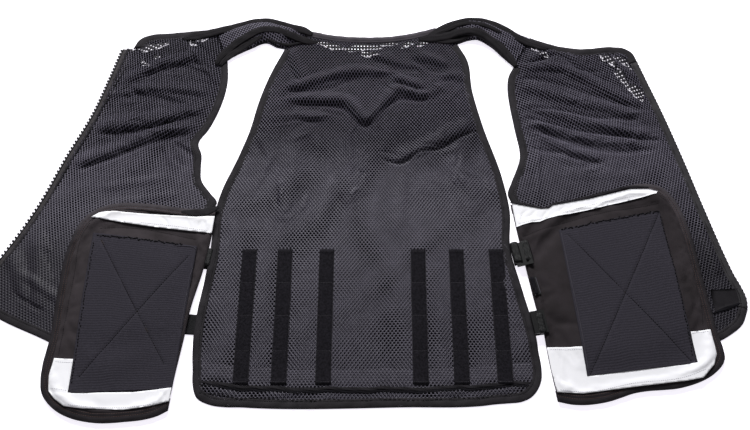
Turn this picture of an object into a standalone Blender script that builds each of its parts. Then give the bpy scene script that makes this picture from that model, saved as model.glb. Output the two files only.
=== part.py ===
"""A tactical vest of black net fabric, opened out and laid flat with its inside up.

The back panel lies in the middle, the two fronts at its sides with their halves of the zip, and a
gathered shoulder strap joins each front to the back. A padded wing lies over the lower part of each
front, with white bands, a ribbed patch, and tabs that reach to the back panel's side edge.

Tables and sizes are in millimetres. X runs from the back panel's centre line to the right, Y from
the level of the armholes' lower ends to the collar, and Z up from the surface the vest lies on.
"""

import math

import bmesh
import bpy
from mathutils import Matrix, Vector
from mathutils.geometry import delaunay_2d_cdt

MM = 0.001
# The middle of the whole vest's box, which becomes the origin
BOX_CENTRE = (-20.5, 28.603)

CLOTH = 2.0
BINDING = 10.0
BINDING_THICK = 3.0
WING_BINDING = 10.0
# The gap between neighbouring pieces that lie on one another
STACK_GAP = 0.3
CLEAR = 0.4
# Runs that meet at less than this, as the sine of their turn, share one mitre
LEAST_TURN = 0.5
RUN_SPACING = 20.0
LATTICE_SPACING = 21.0
LATTICE_ROW = LATTICE_SPACING * math.sin(math.radians(60))
LATTICE_MARGIN = 11.0
FOLD_MARGIN = 6.5
# Where a fold's flank is sampled, as a share of its reach
FLANK = 0.9

ZIP_CHAIN = 3.0
ZIP_TAPE = 14.0
ZIP_TAPE_THICK = 1.2
ZIP_REACH = ZIP_CHAIN + CLEAR + ZIP_TAPE + CLEAR
ZIP_HEAD_MARGIN = 3.0
# How far the net panel stays inside each kind of run
RUN_INSETS = {
    "neck": BINDING + CLEAR, "edge": BINDING + CLEAR, "zip": ZIP_REACH,
    "zip_head": ZIP_HEAD_MARGIN, "shoulder": 0.0,
}

TAPE_CENTRES = (-182, -129, -67, 69, 126, 186)
TAPE_WIDTH = 22.0
TAPE_TOP = -58.0
TAPE_FOOT = -260.0
TAPE_THICK = 1.6

WING_FOOT = BINDING_THICK + CLEAR
WING_TOP = 10.0
WING_ROUND = 3.0
WING_BINDING_THICK = 6.0
BAND_THICK = 0.8
PATCH_THICK = 1.6
BAND_FOOT = WING_TOP + STACK_GAP
PATCH_FOOT = BAND_FOOT + BAND_THICK + STACK_GAP
TAB_THICK = 1.6

# Outlines are runs of points, counter-clockwise, each run ending where the next one starts.
BACK_SIDES_AND_HEM = (
    (-149, 312), (-171, 258), (-187, 202), (-197, 151), (-214, 95), (-234, 38), (-241, -1),
    (-241, -68), (-250, -142), (-250, -240), (-241, -278), (-221, -288), (-180, -291), (40, -291),
    (170, -287), (221, -277), (236, -255), (236, -215), (221, -123), (208, -54), (212, 4),
    (205, 60), (179, 162), (166, 230), (161, 290), (146, 322),
)
BACK_SHOULDER_RIGHT = ((146, 322), (109, 354))
BACK_NECK = ((109, 354), (72, 343), (35, 336), (-17, 334), (-72, 339), (-105, 347))
BACK_SHOULDER_LEFT = ((-105, 347), (-149, 312))

LEFT_NECK = ((-272, 354), (-298, 351), (-349, 345), (-383, 341), (-398, 333), (-408, 313))
LEFT_ZIP_HEAD = ((-408, 313), (-427, 311))
LEFT_ZIP = (
    (-427, 311), (-439, 255), (-456, 184), (-487, 98), (-513, 18), (-551, -65), (-587, -126),
)
LEFT_HEM_AND_ARMHOLE = (
    (-587, -126), (-566, -146), (-460, -199), (-340, -254), (-308, -258),
    (-296, -235), (-288, -130), (-266, -30), (-246, 8), (-239, 20), (-251, 37), (-267, 60),
    (-271, 105), (-278, 126), (-264, 152), (-250, 190), (-243, 222), (-241, 250), (-245, 289),
)
LEFT_SHOULDER = ((-245, 289), (-272, 354))

RIGHT_ARMHOLE_AND_HEM = (
    (239, 275), (229, 256), (225, 229), (226, 200), (231, 150), (235, 100), (218, 55), (211, 34),
    (217, 18), (240, -20), (268, -120), (285, -225), (300, -252), (335, -250), (440, -216),
    (511, -190), (533, -173), (544, -152),
)
RIGHT_ZIP = (
    (544, -152), (546, -136), (535, -98), (512, 5), (494, 96), (474, 186), (456, 256), (449, 284),
)
RIGHT_NECK = (
    (449, 284), (443, 303), (430, 313), (412, 316), (356, 312), (317, 318), (272, 335),
)
RIGHT_SHOULDER = ((272, 335), (239, 275))

LEFT_WING_RIM = (
    (-244, 9), (-277, 8), (-339, 16), (-396, 16), (-420, 8), (-440, -11), (-452, -45),
    (-457, -135), (-456, -198), (-459, -235), (-453, -273), (-427, -298), (-387, -311),
    (-333, -311), (-290, -303), (-277, -296),
)
LEFT_WING_INNER = (
    (-277, -296), (-273, -255), (-264, -185), (-263, -161), (-250, -94), (-244, -34), (-244, 9),
)
RIGHT_WING_INNER = (
    (213, 15), (218, -25), (228, -94), (238, -158), (245, -190), (246, -209), (255, -284),
)
RIGHT_WING_RIM = (
    (255, -284), (275, -288), (325, -284), (360, -273), (440, -262), (476, -246), (495, -225),
    (492, -190), (486, -105), (480, -28), (468, 20), (449, 45), (425, 51), (395, 47), (335, 27),
    (285, 15), (266, 5), (240, 9), (213, 15),
)

LEFT_BAND_TOP = (
    (-244, -35), (-244, -6), (-266, -10), (-341, -3), (-381, 1), (-407, 0), (-421, -5),
    (-351, -20),
)
LEFT_BAND_BOTTOM = (
    (-442, -226), (-446, -250), (-442, -269), (-430, -283), (-414, -292), (-381, -295),
    (-339, -296), (-304, -292), (-277, -285), (-276, -267), (-323, -273), (-416, -273),
    (-415, -227),
)
RIGHT_BAND_TOP = (
    (219, -24), (236, -17), (251, -17), (298, -3), (333, 7), (407, 25), (442, 33), (431, 39),
    (415, 40), (394, 37), (334, 16), (277, 3), (264, -5), (238, -2), (217, 3),
)
RIGHT_BAND_BOTTOM = (
    (248, -209), (250, -245), (255, -272), (288, -275), (360, -263), (437, -253), (468, -242),
    (480, -222), (480, -205), (476, -183), (452, -186), (454, -231), (299, -250), (295, -209),
)
LEFT_PATCH = ((-418, -34), (-415, -274), (-273, -267), (-260, -56))
RIGHT_PATCH = ((281, -30), (298, -250), (453, -232), (438, 3))

# Folds: ridges from one point to another. Columns: x0, y0, x1, y1, reach to each side, rise
BACK_FOLDS = (
    (-142, 228, -93, 244, 15, 7), (-93, 244, -43, 260, 16, 8), (-43, 260, 25, 260, 17, 7),
    (-144, 207, -92, 205, 14, 7), (-92, 205, -43, 203, 15, 8), (-43, 203, -10, 168, 16, 9),
    (-10, 168, 25, 207, 16, 8), (25, 207, 38, 223, 14, 7), (38, 223, 97, 217, 15, 7),
    (97, 217, 109, 234, 13, 5), (35, 252, 83, 230, 14, 6), (115, 258, 153, 252, 13, 4),
    (2, 297, 59, 273, 16, 7), (74, 297, 126, 273, 15, 6),
    (-139, 306, -115, 248, 14, 6), (-159, 170, -73, 174, 14, 5),
    (157, 159, 102, 125, 18, 6), (102, 125, 38, 94, 18, 5),
    (-55, 150, -36, 20, 26, 3), (-118, 150, -135, -10, 28, 4), (128, 100, 160, 0, 28, 4),
    (-241, -52, -246, -104, 24, 4.2), (-253, -146, -252, -204, 24, 4.2),
    (227, -146, 233, -206, 24, 3.0),
)
LEFT_FOLDS = (
    (-407, 244, -355, 277, 16, 8), (-355, 277, -294, 293, 17, 7),
    (-427, 219, -367, 228, 15, 7), (-367, 228, -275, 221, 16, 8),
    (-441, 153, -364, 163, 20, 9), (-364, 163, -288, 186, 18, 8),
    (-467, 87, -405, 114, 18, 7), (-405, 114, -360, 138, 17, 8), (-360, 138, -292, 155, 16, 8),
    (-295, 123, -276, 106, 12, 4),
    (-500, -40, -482, -150, 22, 5), (-535, -70, -500, -140, 18, 4),
)
RIGHT_FOLDS = (
    (258, 271, 315, 269, 17, 7), (315, 269, 347, 252, 16, 8), (347, 252, 396, 219, 16, 8),
    (396, 219, 438, 195, 16, 7), (255, 232, 334, 203, 18, 8), (334, 203, 415, 180, 17, 7),
    (415, 180, 450, 166, 16, 5), (252, 195, 322, 168, 15, 7), (322, 168, 410, 146, 15, 8),
    (410, 146, 458, 134, 15, 6), (260, 161, 355, 129, 14, 7), (355, 129, 427, 122, 13, 6),
    (266, 136, 325, 107, 14, 6), (325, 107, 360, 96, 14, 5),
    (385, 293, 403, 277, 12, 5), (403, 277, 440, 250, 13, 5),
    (500, -10, 513, -100, 13, 5),
)

# Shoulder straps from front to back. Columns: neck-side x, y, arm-side x, y, height
LEFT_STRAP = (
    (-272, 354, -245, 289, 3), (-240, 358, -229, 300, 11), (-210, 366, -208, 312, 15),
    (-176, 367, -180, 324, 17), (-141, 360, -162, 315, 14), (-105, 347, -149, 312, 3),
)
RIGHT_STRAP = (
    (109, 354, 146, 322, 3), (131, 363, 166, 330, 13), (169, 370, 178, 332, 17),
    (205, 365, 202, 317, 16), (239, 350, 223, 293, 12), (272, 335, 239, 275, 3),
)
STRAP_STATIONS = 12
STRAP_RIDGES = 3
STRAP_TOP_POINTS = 12
# Gap at each end of a strap, as a share of its length, and how finely its edges are sampled
STRAP_END_GAP = 0.003
STRAP_SAMPLING = 0.2
# Height of the furrows between a strap's ridges, as a share of its full height
STRAP_FURROW = 0.55

# Webbing tabs at the sides. Columns: centre x, y, length across the gap, width, turn in degrees
SIDE_TABS = {
    "side_tab_left_upper": (-249, -74, 28, 30, -6),
    "side_tab_left_lower": (-258, -174, 28, 30, -4),
    "side_tab_right_lower": (237, -176, 28, 28, 8),
}
# The right upper tab rises from the back panel's edge to its triglide. Columns: distance out, z
RISING_TAB = ((1.2, 0), (4, 0), (7, 5), (9, 6.8))
RISING_TAB_ROOT = (210.5, -71)
RISING_TAB_WIDTH = 28.0
# Plastic at the right side. Columns: centre x, y, foot, size x, y, z, turn, tilt in degrees
TRIGLIDE = (223.5, -69, 9.7, 24, 36, 3.6, 10, -9)
LOWER_BUCKLE = (238.5, -173, 10.4, 20, 33, 3.2, 9, 0)
KEEPER = (238, -119, 10.4, 9, 28, 3.0, 12, 0)
BUCKLE_BAR = 4.0
SLOT_WIDTH = 3.6
TRIGLIDE_SLOTS = (-4.5, 4.5)
BUCKLE_SLOTS = (0.0,)

COLOURS = {
    "net": (0.020, 0.018, 0.024),
    "binding": (0.045, 0.042, 0.045),
    "webbing": (0.014, 0.014, 0.016),
    "cover": (0.040, 0.034, 0.036),
    "patch": (0.033, 0.031, 0.036),
    "plastic": (0.018, 0.020, 0.022),
    "white": (0.900, 0.900, 0.930),
}
ROUGHNESS = {
    "net": 0.8, "binding": 0.7, "webbing": 0.75, "cover": 0.85, "patch": 0.9, "plastic": 0.35,
    "white": 0.6,
}


def clear_scene():
    """Removes whatever the start-up file holds."""
    for obj in list(bpy.data.objects):
        bpy.data.objects.remove(obj, do_unlink=True)


def make_material(name, roughness):
    """A plain material of the named colour."""
    material = bpy.data.materials.new(name)
    material.use_nodes = True
    shader = material.node_tree.nodes["Principled BSDF"]
    shader.inputs["Base Color"].default_value = (*COLOURS[name], 1.0)
    shader.inputs["Roughness"].default_value = roughness
    shader.inputs["Metallic"].default_value = 0.0
    return material


def smooth_run(points, spacing=RUN_SPACING):
    """A curve through the points, sampled about one spacing apart."""
    points = [Vector(point) for point in points]
    lengths = [(after - before).length for before, after in zip(points, points[1:])]
    steps = [(after - before) / length for before, after, length in zip(points, points[1:], lengths)]
    slopes = [steps[0]]
    for index in range(1, len(steps)):
        near, far = lengths[index - 1], lengths[index]
        slopes.append((steps[index - 1] * far + steps[index] * near) / (near + far))
    slopes.append(steps[-1])
    samples = []
    for index, length in enumerate(lengths):
        count = max(1, round(length / spacing))
        for step in range(count):
            t = step / count
            samples.append(
                points[index] * (1 + 2 * t) * (1 - t) ** 2
                + points[index + 1] * (3 - 2 * t) * t**2
                + slopes[index] * (length * t * (1 - t) ** 2)
                - slopes[index + 1] * (length * (1 - t) * t**2)
            )
    samples.append(points[-1])
    return samples


def left_of(direction):
    """The direction turned a quarter to the left."""
    return Vector((-direction.y, direction.x))


def mitre(point, before, after, inset):
    """A point of a bend moved inwards along the bend's middle."""
    middle = (left_of(before) + left_of(after)).normalized()
    return point + middle * (inset / middle.dot(left_of(before)))


def inset_start(point, arriving, first, inset, inset_before):
    """Where a moved run starts: on its neighbour's inset edge, or mitred if the two run on."""
    turn = arriving.cross(first)
    if abs(turn) < LEAST_TURN:
        return mitre(point, arriving, first, inset) + first * (2 * CLEAR)
    return point + first * (inset_before / turn) - arriving * (inset / turn)


def inset_end(point, last, leaving, inset, inset_after):
    """Where a moved run ends, by the same rule as its start."""
    turn = last.cross(leaving)
    if abs(turn) < LEAST_TURN:
        return mitre(point, last, leaving, inset)
    return point + leaving * (inset / turn) - last * (inset_after / turn)


def inset_run(outline, index, inset, inset_before, inset_after):
    """A run of the outline moved inwards, each end fitted to the neighbouring run."""
    run = outline[index]
    previous = outline[index - 1]
    following = outline[(index + 1) % len(outline)]
    first = (run[1] - run[0]).normalized()
    last = (run[-1] - run[-2]).normalized()
    arriving = (previous[-1] - previous[-2]).normalized()
    leaving = (following[1] - following[0]).normalized()
    moved = [inset_start(run[0], arriving, first, inset, inset_before)]
    for before, here, after in zip(run, run[1:], run[2:]):
        moved.append(mitre(here, (here - before).normalized(), (after - here).normalized(), inset))
    moved.append(inset_end(run[-1], last, leaving, inset, inset_after))
    return moved


def inset_border(outline, insets):
    """The closed border that the outline's runs make, each moved in by its own inset."""
    border = []
    for index, inset in enumerate(insets):
        after = insets[(index + 1) % len(insets)]
        for point in inset_run(outline, index, inset, insets[index - 1], after):
            if not border or (point - border[-1]).length > CLEAR:
                border.append(point)
    if (border[0] - border[-1]).length < CLEAR:
        border.pop()
    return border


def fold_height(folds, x, y):
    """Height of the highest fold over a point: each ridge dies out at its reach."""
    height = 0.0
    for x0, y0, x1, y1, reach, rise in folds:
        ridge = Vector((x1 - x0, y1 - y0))
        there = Vector((x - x0, y - y0))
        along = min(max(there.dot(ridge) / ridge.length_squared, 0.0), 1.0)
        away = (there - ridge * along).length
        if away < reach:
            height = max(height, rise * math.cos(0.5 * math.pi * away / reach) ** 2)
    return height


def add_object(name, mesh_edit, material):
    """Turns the edit mesh, in millimetres of the tables, into a named object."""
    bmesh.ops.recalc_face_normals(mesh_edit, faces=mesh_edit.faces)
    if mesh_edit.calc_volume(signed=True) < 0.0:
        bmesh.ops.reverse_faces(mesh_edit, faces=mesh_edit.faces)
    bmesh.ops.scale(mesh_edit, vec=(MM, MM, MM), verts=mesh_edit.verts)
    mesh = bpy.data.meshes.new(name)
    mesh_edit.to_mesh(mesh)
    mesh_edit.free()
    mesh.materials.append(material)
    obj = bpy.data.objects.new(name, mesh)
    obj.location = (-BOX_CENTRE[0] * MM, -BOX_CENTRE[1] * MM, 0.0)
    return obj


def thicken(mesh_edit, thickness):
    """Closes an open sheet by a copy of it, higher by the thickness, and walls between."""
    raised = bmesh.ops.extrude_face_region(mesh_edit, geom=list(mesh_edit.faces))["geom"]
    top = [item for item in raised if isinstance(item, bmesh.types.BMVert)]
    bmesh.ops.translate(mesh_edit, vec=(0.0, 0.0, thickness), verts=top)
    return top


def fold_points(folds):
    """Points along each ridge, on its crest and on both its flanks, so that the mesh follows it."""
    points = []
    for x0, y0, x1, y1, reach, _ in folds:
        ridge = Vector((x1 - x0, y1 - y0))
        across = left_of(ridge.normalized())
        count = max(1, round(ridge.length / RUN_SPACING))
        for step in range(count + 1):
            crest = Vector((x0, y0)) + ridge * (step / count)
            flank = across * (FLANK * reach)
            points += [crest, crest + flank, crest - flank]
    return points


def inside(border, point, margin):
    """Whether the point lies within the closed border and clear of it by the margin."""
    crossings = 0
    for start, end in zip(border, border[1:] + border[:1]):
        span = end - start
        along = min(max((point - start).dot(span) / span.length_squared, 0.0), 1.0)
        if (start + span * along - point).length < margin:
            return False
        if (start.y > point.y) != (end.y > point.y):
            at = start.x + span.x * (point.y - start.y) / span.y
            crossings += at > point.x
    return crossings % 2 == 1


def lattice(border):
    """Points of a triangular lattice over the border's box."""
    low_x = min(point.x for point in border)
    high_x = max(point.x for point in border)
    low_y = min(point.y for point in border)
    high_y = max(point.y for point in border)
    points = []
    for row in range(math.ceil((high_y - low_y) / LATTICE_ROW)):
        start_x = low_x + 0.5 * (row % 2) * LATTICE_SPACING
        for column in range(math.ceil((high_x - low_x) / LATTICE_SPACING)):
            points.append(Vector((start_x + column * LATTICE_SPACING, low_y + row * LATTICE_ROW)))
    return points


def cloth_panel(name, outline, insets, folds, material):
    """A sheet of cloth within the outline's inset runs, lifted over its folds."""
    border = inset_border(outline, insets)
    points = list(border)
    for candidates, room in (
        (fold_points(folds), FOLD_MARGIN),
        (lattice(border), LATTICE_MARGIN),
    ):
        for candidate in candidates:
            crowded = any((candidate - other).length < room for other in points)
            if not crowded and inside(border, candidate, FOLD_MARGIN):
                points.append(candidate)
    edges = [(index, (index + 1) % len(border)) for index in range(len(border))]
    flat, _, faces, *_ = delaunay_2d_cdt(points, edges, [], 1, 1e-4)
    sheet = bmesh.new()
    corners = [sheet.verts.new((x, y, fold_height(folds, x, y))) for x, y in flat]
    for face in faces:
        sheet.faces.new([corners[index] for index in face])
    thicken(sheet, CLOTH)
    return add_object(name, sheet, material)


def edge_strip(name, outline, index, insets, ends, foot, thickness, folds, material):
    """A strip along a run, from the first inset to the second. Ends are the neighbours' insets."""
    strip = bmesh.new()
    rows = []
    for inset in insets:
        row = inset_run(outline, index, inset, *ends)
        rows.append([strip.verts.new((x, y, foot + fold_height(folds, x, y))) for x, y in row])
    outer, inner = rows
    for step in range(len(outer) - 1):
        strip.faces.new((outer[step], outer[step + 1], inner[step + 1], inner[step]))
    thicken(strip, thickness)
    return add_object(name, strip, material)


def slab(name, border, foot, thickness, material, rounding=0.0):
    """A flat piece with the border's outline, its upper edge rounded if asked."""
    piece = bmesh.new()
    piece.faces.new([piece.verts.new((x, y, foot)) for x, y in border])
    top = set(thicken(piece, thickness))
    if rounding:
        edges = [edge for edge in piece.edges if top.issuperset(edge.verts)]
        bmesh.ops.bevel(piece, geom=edges, offset=rounding, segments=2, affect="EDGES", profile=0.5)
    return add_object(name, piece, material)


def block(name, centre, size, turn, tilt, material):
    """A box at its centre, turned about Z after being tilted about Y."""
    piece = bmesh.new()
    bmesh.ops.create_cube(piece, size=1.0)
    place = (
        Matrix.Translation(centre)
        @ Matrix.Rotation(math.radians(turn), 4, "Z")
        @ Matrix.Rotation(math.radians(tilt), 4, "Y")
        @ Matrix.Diagonal((*size, 1.0))
    )
    bmesh.ops.transform(piece, matrix=place, verts=piece.verts)
    return add_object(name, piece, material)


def strap_section(neck, arm, height):
    """One closed section of a gathered strap: flat below, with rounded ridges above."""
    ring = [Vector((*arm, 0.0)), Vector((*neck, 0.0))]
    for step in range(STRAP_TOP_POINTS):
        across = (step + 0.5) / STRAP_TOP_POINTS
        ridge = 0.5 - 0.5 * math.cos(2 * math.pi * STRAP_RIDGES * across)
        place = neck.lerp(arm, across)
        rise = (height - CLOTH) * (STRAP_FURROW + (1 - STRAP_FURROW) * ridge)
        ring.append(Vector((*place, CLOTH + rise)))
    return ring


def shoulder_strap(name, table, material):
    """A loft of gathered sections from one end of the strap to the other."""
    necks = smooth_run([row[0:2] for row in table], STRAP_SAMPLING)
    arms = smooth_run([row[2:4] for row in table], STRAP_SAMPLING)
    heights = [row[4] for row in table]
    strap = bmesh.new()
    rings = []
    for station in range(STRAP_STATIONS):
        share = station / (STRAP_STATIONS - 1)
        share = STRAP_END_GAP + share * (1 - 2 * STRAP_END_GAP)
        neck = necks[round(share * (len(necks) - 1))]
        arm = arms[round(share * (len(arms) - 1))]
        row = min(int(share * (len(heights) - 1)), len(heights) - 2)
        part = share * (len(heights) - 1) - row
        height = heights[row] + (heights[row + 1] - heights[row]) * part
        rings.append([strap.verts.new(point) for point in strap_section(neck, arm, height)])
    for near, far in zip(rings, rings[1:]):
        for index in range(len(near)):
            after = (index + 1) % len(near)
            strap.faces.new((near[index], near[after], far[after], far[index]))
    strap.faces.new(rings[0])
    strap.faces.new(rings[-1])
    return add_object(name, strap, material)


def build_back(materials):
    """The back panel, its bindings and the six upright tapes."""
    runs = (BACK_SIDES_AND_HEM, BACK_SHOULDER_RIGHT, BACK_NECK, BACK_SHOULDER_LEFT)
    outline = [smooth_run(run) for run in runs]
    bound = BINDING + CLEAR
    pieces = [
        cloth_panel("back_panel", outline, (bound, 0.0, bound, 0.0), BACK_FOLDS, materials["net"]),
    ]
    for name, index in (("back_edge_binding", 0), ("back_neck_binding", 2)):
        pieces.append(
            edge_strip(
                name, outline, index, (0.0, BINDING), (0.0, 0.0), 0.0, BINDING_THICK, BACK_FOLDS,
                materials["binding"],
            )
        )
    middle = 0.5 * (TAPE_TOP + TAPE_FOOT)
    height = CLOTH + STACK_GAP + 0.5 * TAPE_THICK
    size = (TAPE_WIDTH, TAPE_TOP - TAPE_FOOT, TAPE_THICK)
    for number, x in enumerate(TAPE_CENTRES, start=1):
        name = f"back_tape_{number}"
        pieces.append(block(name, (x, middle, height), size, 0.0, 0.0, materials["webbing"]))
    return pieces


def build_front(side, runs, folds, materials):
    """One front from its runs by name: the bound neck and edge, the zip half, and open ends."""
    names = list(runs)
    outline = [smooth_run(run) for run in runs.values()]
    insets = [RUN_INSETS[name] for name in names]
    pieces = [cloth_panel(f"front_panel_{side}", outline, insets, folds, materials["net"])]
    tape_edges = (ZIP_CHAIN + CLEAR, ZIP_CHAIN + CLEAR + ZIP_TAPE)
    for piece, run, edges, thickness, look in (
        ("front_neck_binding", "neck", (0.0, BINDING), BINDING_THICK, "binding"),
        ("front_edge_binding", "edge", (0.0, BINDING), BINDING_THICK, "binding"),
        ("zip_tape", "zip", tape_edges, ZIP_TAPE_THICK, "webbing"),
        ("zip_chain", "zip", (0.0, ZIP_CHAIN), BINDING_THICK, "plastic"),
    ):
        index = names.index(run)
        before = names[index - 1]
        ends = (ZIP_REACH + ZIP_HEAD_MARGIN if before == "zip" else 0.0, 0.0)
        pieces.append(
            edge_strip(
                f"{piece}_{side}", outline, index, edges, ends, 0.0, thickness, folds,
                materials[look],
            )
        )
    return pieces


def build_wing(side, rim, inner, rim_index, bands, patch, materials):
    """A padded wing: its pad, the binding round three sides, two white bands and the patch."""
    runs = (rim, inner) if rim_index == 0 else (inner, rim)
    outline = [smooth_run(run) for run in runs]
    insets = [0.0, 0.0]
    insets[rim_index] = WING_BINDING + CLEAR
    border = inset_border(outline, insets)
    band_top, band_bottom = bands
    return [
        slab(
            f"wing_{side}", border, WING_FOOT, WING_TOP - WING_FOOT, materials["cover"],
            WING_ROUND,
        ),
        edge_strip(
            f"wing_binding_{side}", outline, rim_index, (0.0, WING_BINDING), (0.0, 0.0), WING_FOOT,
            WING_BINDING_THICK, (), materials["binding"],
        ),
        slab(f"wing_band_top_{side}", band_top, BAND_FOOT, BAND_THICK, materials["white"]),
        slab(f"wing_band_bottom_{side}", band_bottom, BAND_FOOT, BAND_THICK, materials["white"]),
        slab(f"wing_patch_{side}", patch, PATCH_FOOT, PATCH_THICK, materials["patch"]),
    ]


def rising_tab(materials):
    """Webbing that starts at the back panel's edge and rises to the triglide."""
    piece = bmesh.new()
    rows = []
    for y in (-0.5 * RISING_TAB_WIDTH, 0.5 * RISING_TAB_WIDTH):
        rows.append([piece.verts.new((x, y, z)) for x, z in RISING_TAB])
    for near, far in zip(range(len(RISING_TAB)), range(1, len(RISING_TAB))):
        piece.faces.new((rows[0][near], rows[0][far], rows[1][far], rows[1][near]))
    thicken(piece, TAB_THICK)
    turn = Matrix.Rotation(math.radians(TRIGLIDE[6]), 4, "Z")
    place = Matrix.Translation((*RISING_TAB_ROOT, 0.0)) @ turn
    bmesh.ops.transform(piece, matrix=place, verts=piece.verts)
    return add_object("side_tab_right_upper", piece, materials["webbing"])


def slotted_plate(name, row, slots, helpers, materials):
    """A plastic plate with slots for webbing along it, cut by boxes."""
    x, y, foot, size_x, size_y, size_z, turn, tilt = row
    centre = Vector((x, y, foot + 0.5 * size_z))
    plastic = materials["plastic"]
    plate = block(name, centre, (size_x, size_y, size_z), turn, tilt, plastic)
    cut_size = (SLOT_WIDTH, size_y - 2 * BUCKLE_BAR, 4 * size_z)
    for number, offset in enumerate(slots):
        shift = Matrix.Rotation(math.radians(turn), 3, "Z") @ Vector((offset, 0.0, 0.0))
        cutter = block(f"{name}_slot_{number}", centre + shift, cut_size, turn, tilt, plastic)
        cutter.hide_render = True
        cutter.display_type = "WIRE"
        helpers.append(cutter)
        cut = plate.modifiers.new(f"slot_{number}", "BOOLEAN")
        cut.operation = "DIFFERENCE"
        cut.object = cutter
    return plate


def build_sides(helpers, materials):
    """The webbing tabs between wings and back, and the plastic at the right side."""
    pieces = [rising_tab(materials)]
    for name, (x, y, length, width, turn) in SIDE_TABS.items():
        centre = (x, y, 0.5 * TAB_THICK)
        size = (length, width, TAB_THICK)
        pieces.append(block(name, centre, size, turn, 0.0, materials["webbing"]))
    for name, row, slots in (
        ("triglide_right_upper", TRIGLIDE, TRIGLIDE_SLOTS),
        ("buckle_right_lower", LOWER_BUCKLE, BUCKLE_SLOTS),
        ("keeper_right", KEEPER, ()),
    ):
        pieces.append(slotted_plate(name, row, slots, helpers, materials))
    return pieces


def gather(name, objects):
    """Puts the objects into a collection of their own."""
    collection = bpy.data.collections.new(name)
    bpy.context.scene.collection.children.link(collection)
    for obj in objects:
        collection.objects.link(obj)


def build_vest():
    """Every piece of the vest, in one collection, and the cutters in another."""
    clear_scene()
    materials = {name: make_material(name, value) for name, value in ROUGHNESS.items()}
    helpers = []
    pieces = build_back(materials)
    left_runs = {
        "neck": LEFT_NECK, "zip_head": LEFT_ZIP_HEAD, "zip": LEFT_ZIP,
        "edge": LEFT_HEM_AND_ARMHOLE, "shoulder": LEFT_SHOULDER,
    }
    right_runs = {
        "edge": RIGHT_ARMHOLE_AND_HEM, "zip": RIGHT_ZIP, "neck": RIGHT_NECK,
        "shoulder": RIGHT_SHOULDER,
    }
    pieces += build_front("left", left_runs, LEFT_FOLDS, materials)
    pieces += build_front("right", right_runs, RIGHT_FOLDS, materials)
    pieces.append(shoulder_strap("shoulder_strap_left", LEFT_STRAP, materials["net"]))
    pieces.append(shoulder_strap("shoulder_strap_right", RIGHT_STRAP, materials["net"]))
    pieces += build_wing(
        "left", LEFT_WING_RIM, LEFT_WING_INNER, 0, (LEFT_BAND_TOP, LEFT_BAND_BOTTOM), LEFT_PATCH,
        materials,
    )
    pieces += build_wing(
        "right", RIGHT_WING_RIM, RIGHT_WING_INNER, 1, (RIGHT_BAND_TOP, RIGHT_BAND_BOTTOM),
        RIGHT_PATCH, materials,
    )
    pieces += build_sides(helpers, materials)
    gather("tactical_vest", pieces)
    gather("cutters", helpers)


build_vest()
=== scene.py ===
"""Looks of the tactical vest: net fabric, bindings, zip, webbing, patches and plastic.

Tables are in millimetres on the table that part.py uses: X from the back panel's centre line to the
right, Y towards the collar, Z up. Everything is shifted to the frame's origin when it becomes a mesh.
"""

import math

import bmesh
import bpy
import numpy as np
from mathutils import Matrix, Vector
from mathutils.bvhtree import BVHTree
from mathutils.geometry import delaunay_2d_cdt


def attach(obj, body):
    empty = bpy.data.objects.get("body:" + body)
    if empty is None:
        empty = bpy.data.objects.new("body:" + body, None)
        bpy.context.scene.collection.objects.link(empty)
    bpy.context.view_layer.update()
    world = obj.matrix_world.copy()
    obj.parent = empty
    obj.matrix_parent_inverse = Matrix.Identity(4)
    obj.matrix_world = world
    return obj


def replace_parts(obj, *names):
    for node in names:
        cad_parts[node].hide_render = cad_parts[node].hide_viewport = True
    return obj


MM = 0.001
# The centre of the whole vest's box on the table, which is the frame's origin
BOX_CENTRE = np.array((-20.5, 28.603))

# The photo's camera: degrees off straight down, metres away, millimetres of lens and sensor, and
# the X on the table that it aims at
CAMERA_TILT = 25.0
CAMERA_DISTANCE = 1.15
CAMERA_LENS = 36.0
CAMERA_SENSOR = 36.0
CAMERA_AIM_X = 5.0

# As in part.py: the bindings' width, the gap between pieces, the least sine of a corner's turn, the
# spacing of an outline's points and the parts that each of its spans is then drawn in
BINDING = 10.0
CLEAR = 0.4
LEAST_TURN = 0.5
RUN_SPACING = 20.0
RUN_PARTS = 4
# How far in from its edge the zip reaches, and the margin where the next band starts
ZIP_REACH = 17.8
ZIP_HEAD_MARGIN = 3.0
# How far in from each kind of edge a panel's net ends
NET_INSETS = {"edge": 4.0, "neck": 4.0, "zip": 10.0, "zip_head": 3.0, "shoulder": 0.0}
# Spacing of points in the panels' cloth, the pads, the white bands, the patches' rows and the
# corner's facing, and along seams and ribbons, along the hem and round the white bands
CLOTH_SPACING = 6.0
PAD_SPACING = 7.0
BAND_SPACING = 2.2
PATCH_SPACING = 2.4
CORNER_SPACING = 5.0
SEAM_STEP = 4.0
HEM_STEP = 5.0
BORDER_STEP = 5.0
# Heights over the panels' relief: the cloth's middle, the nets' hole rims with the threads' crests
# over them, and stitches on the bands; and the strap's net over its body
CLOTH_LIFT = 0.3
UNDER_NET = (0.9, 0.35)
UPPER_NET = (1.5, 0.7)
BAND_SEAM_LIFT = 2.9
STRAP_NET = (0.3, 0.7)

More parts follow.
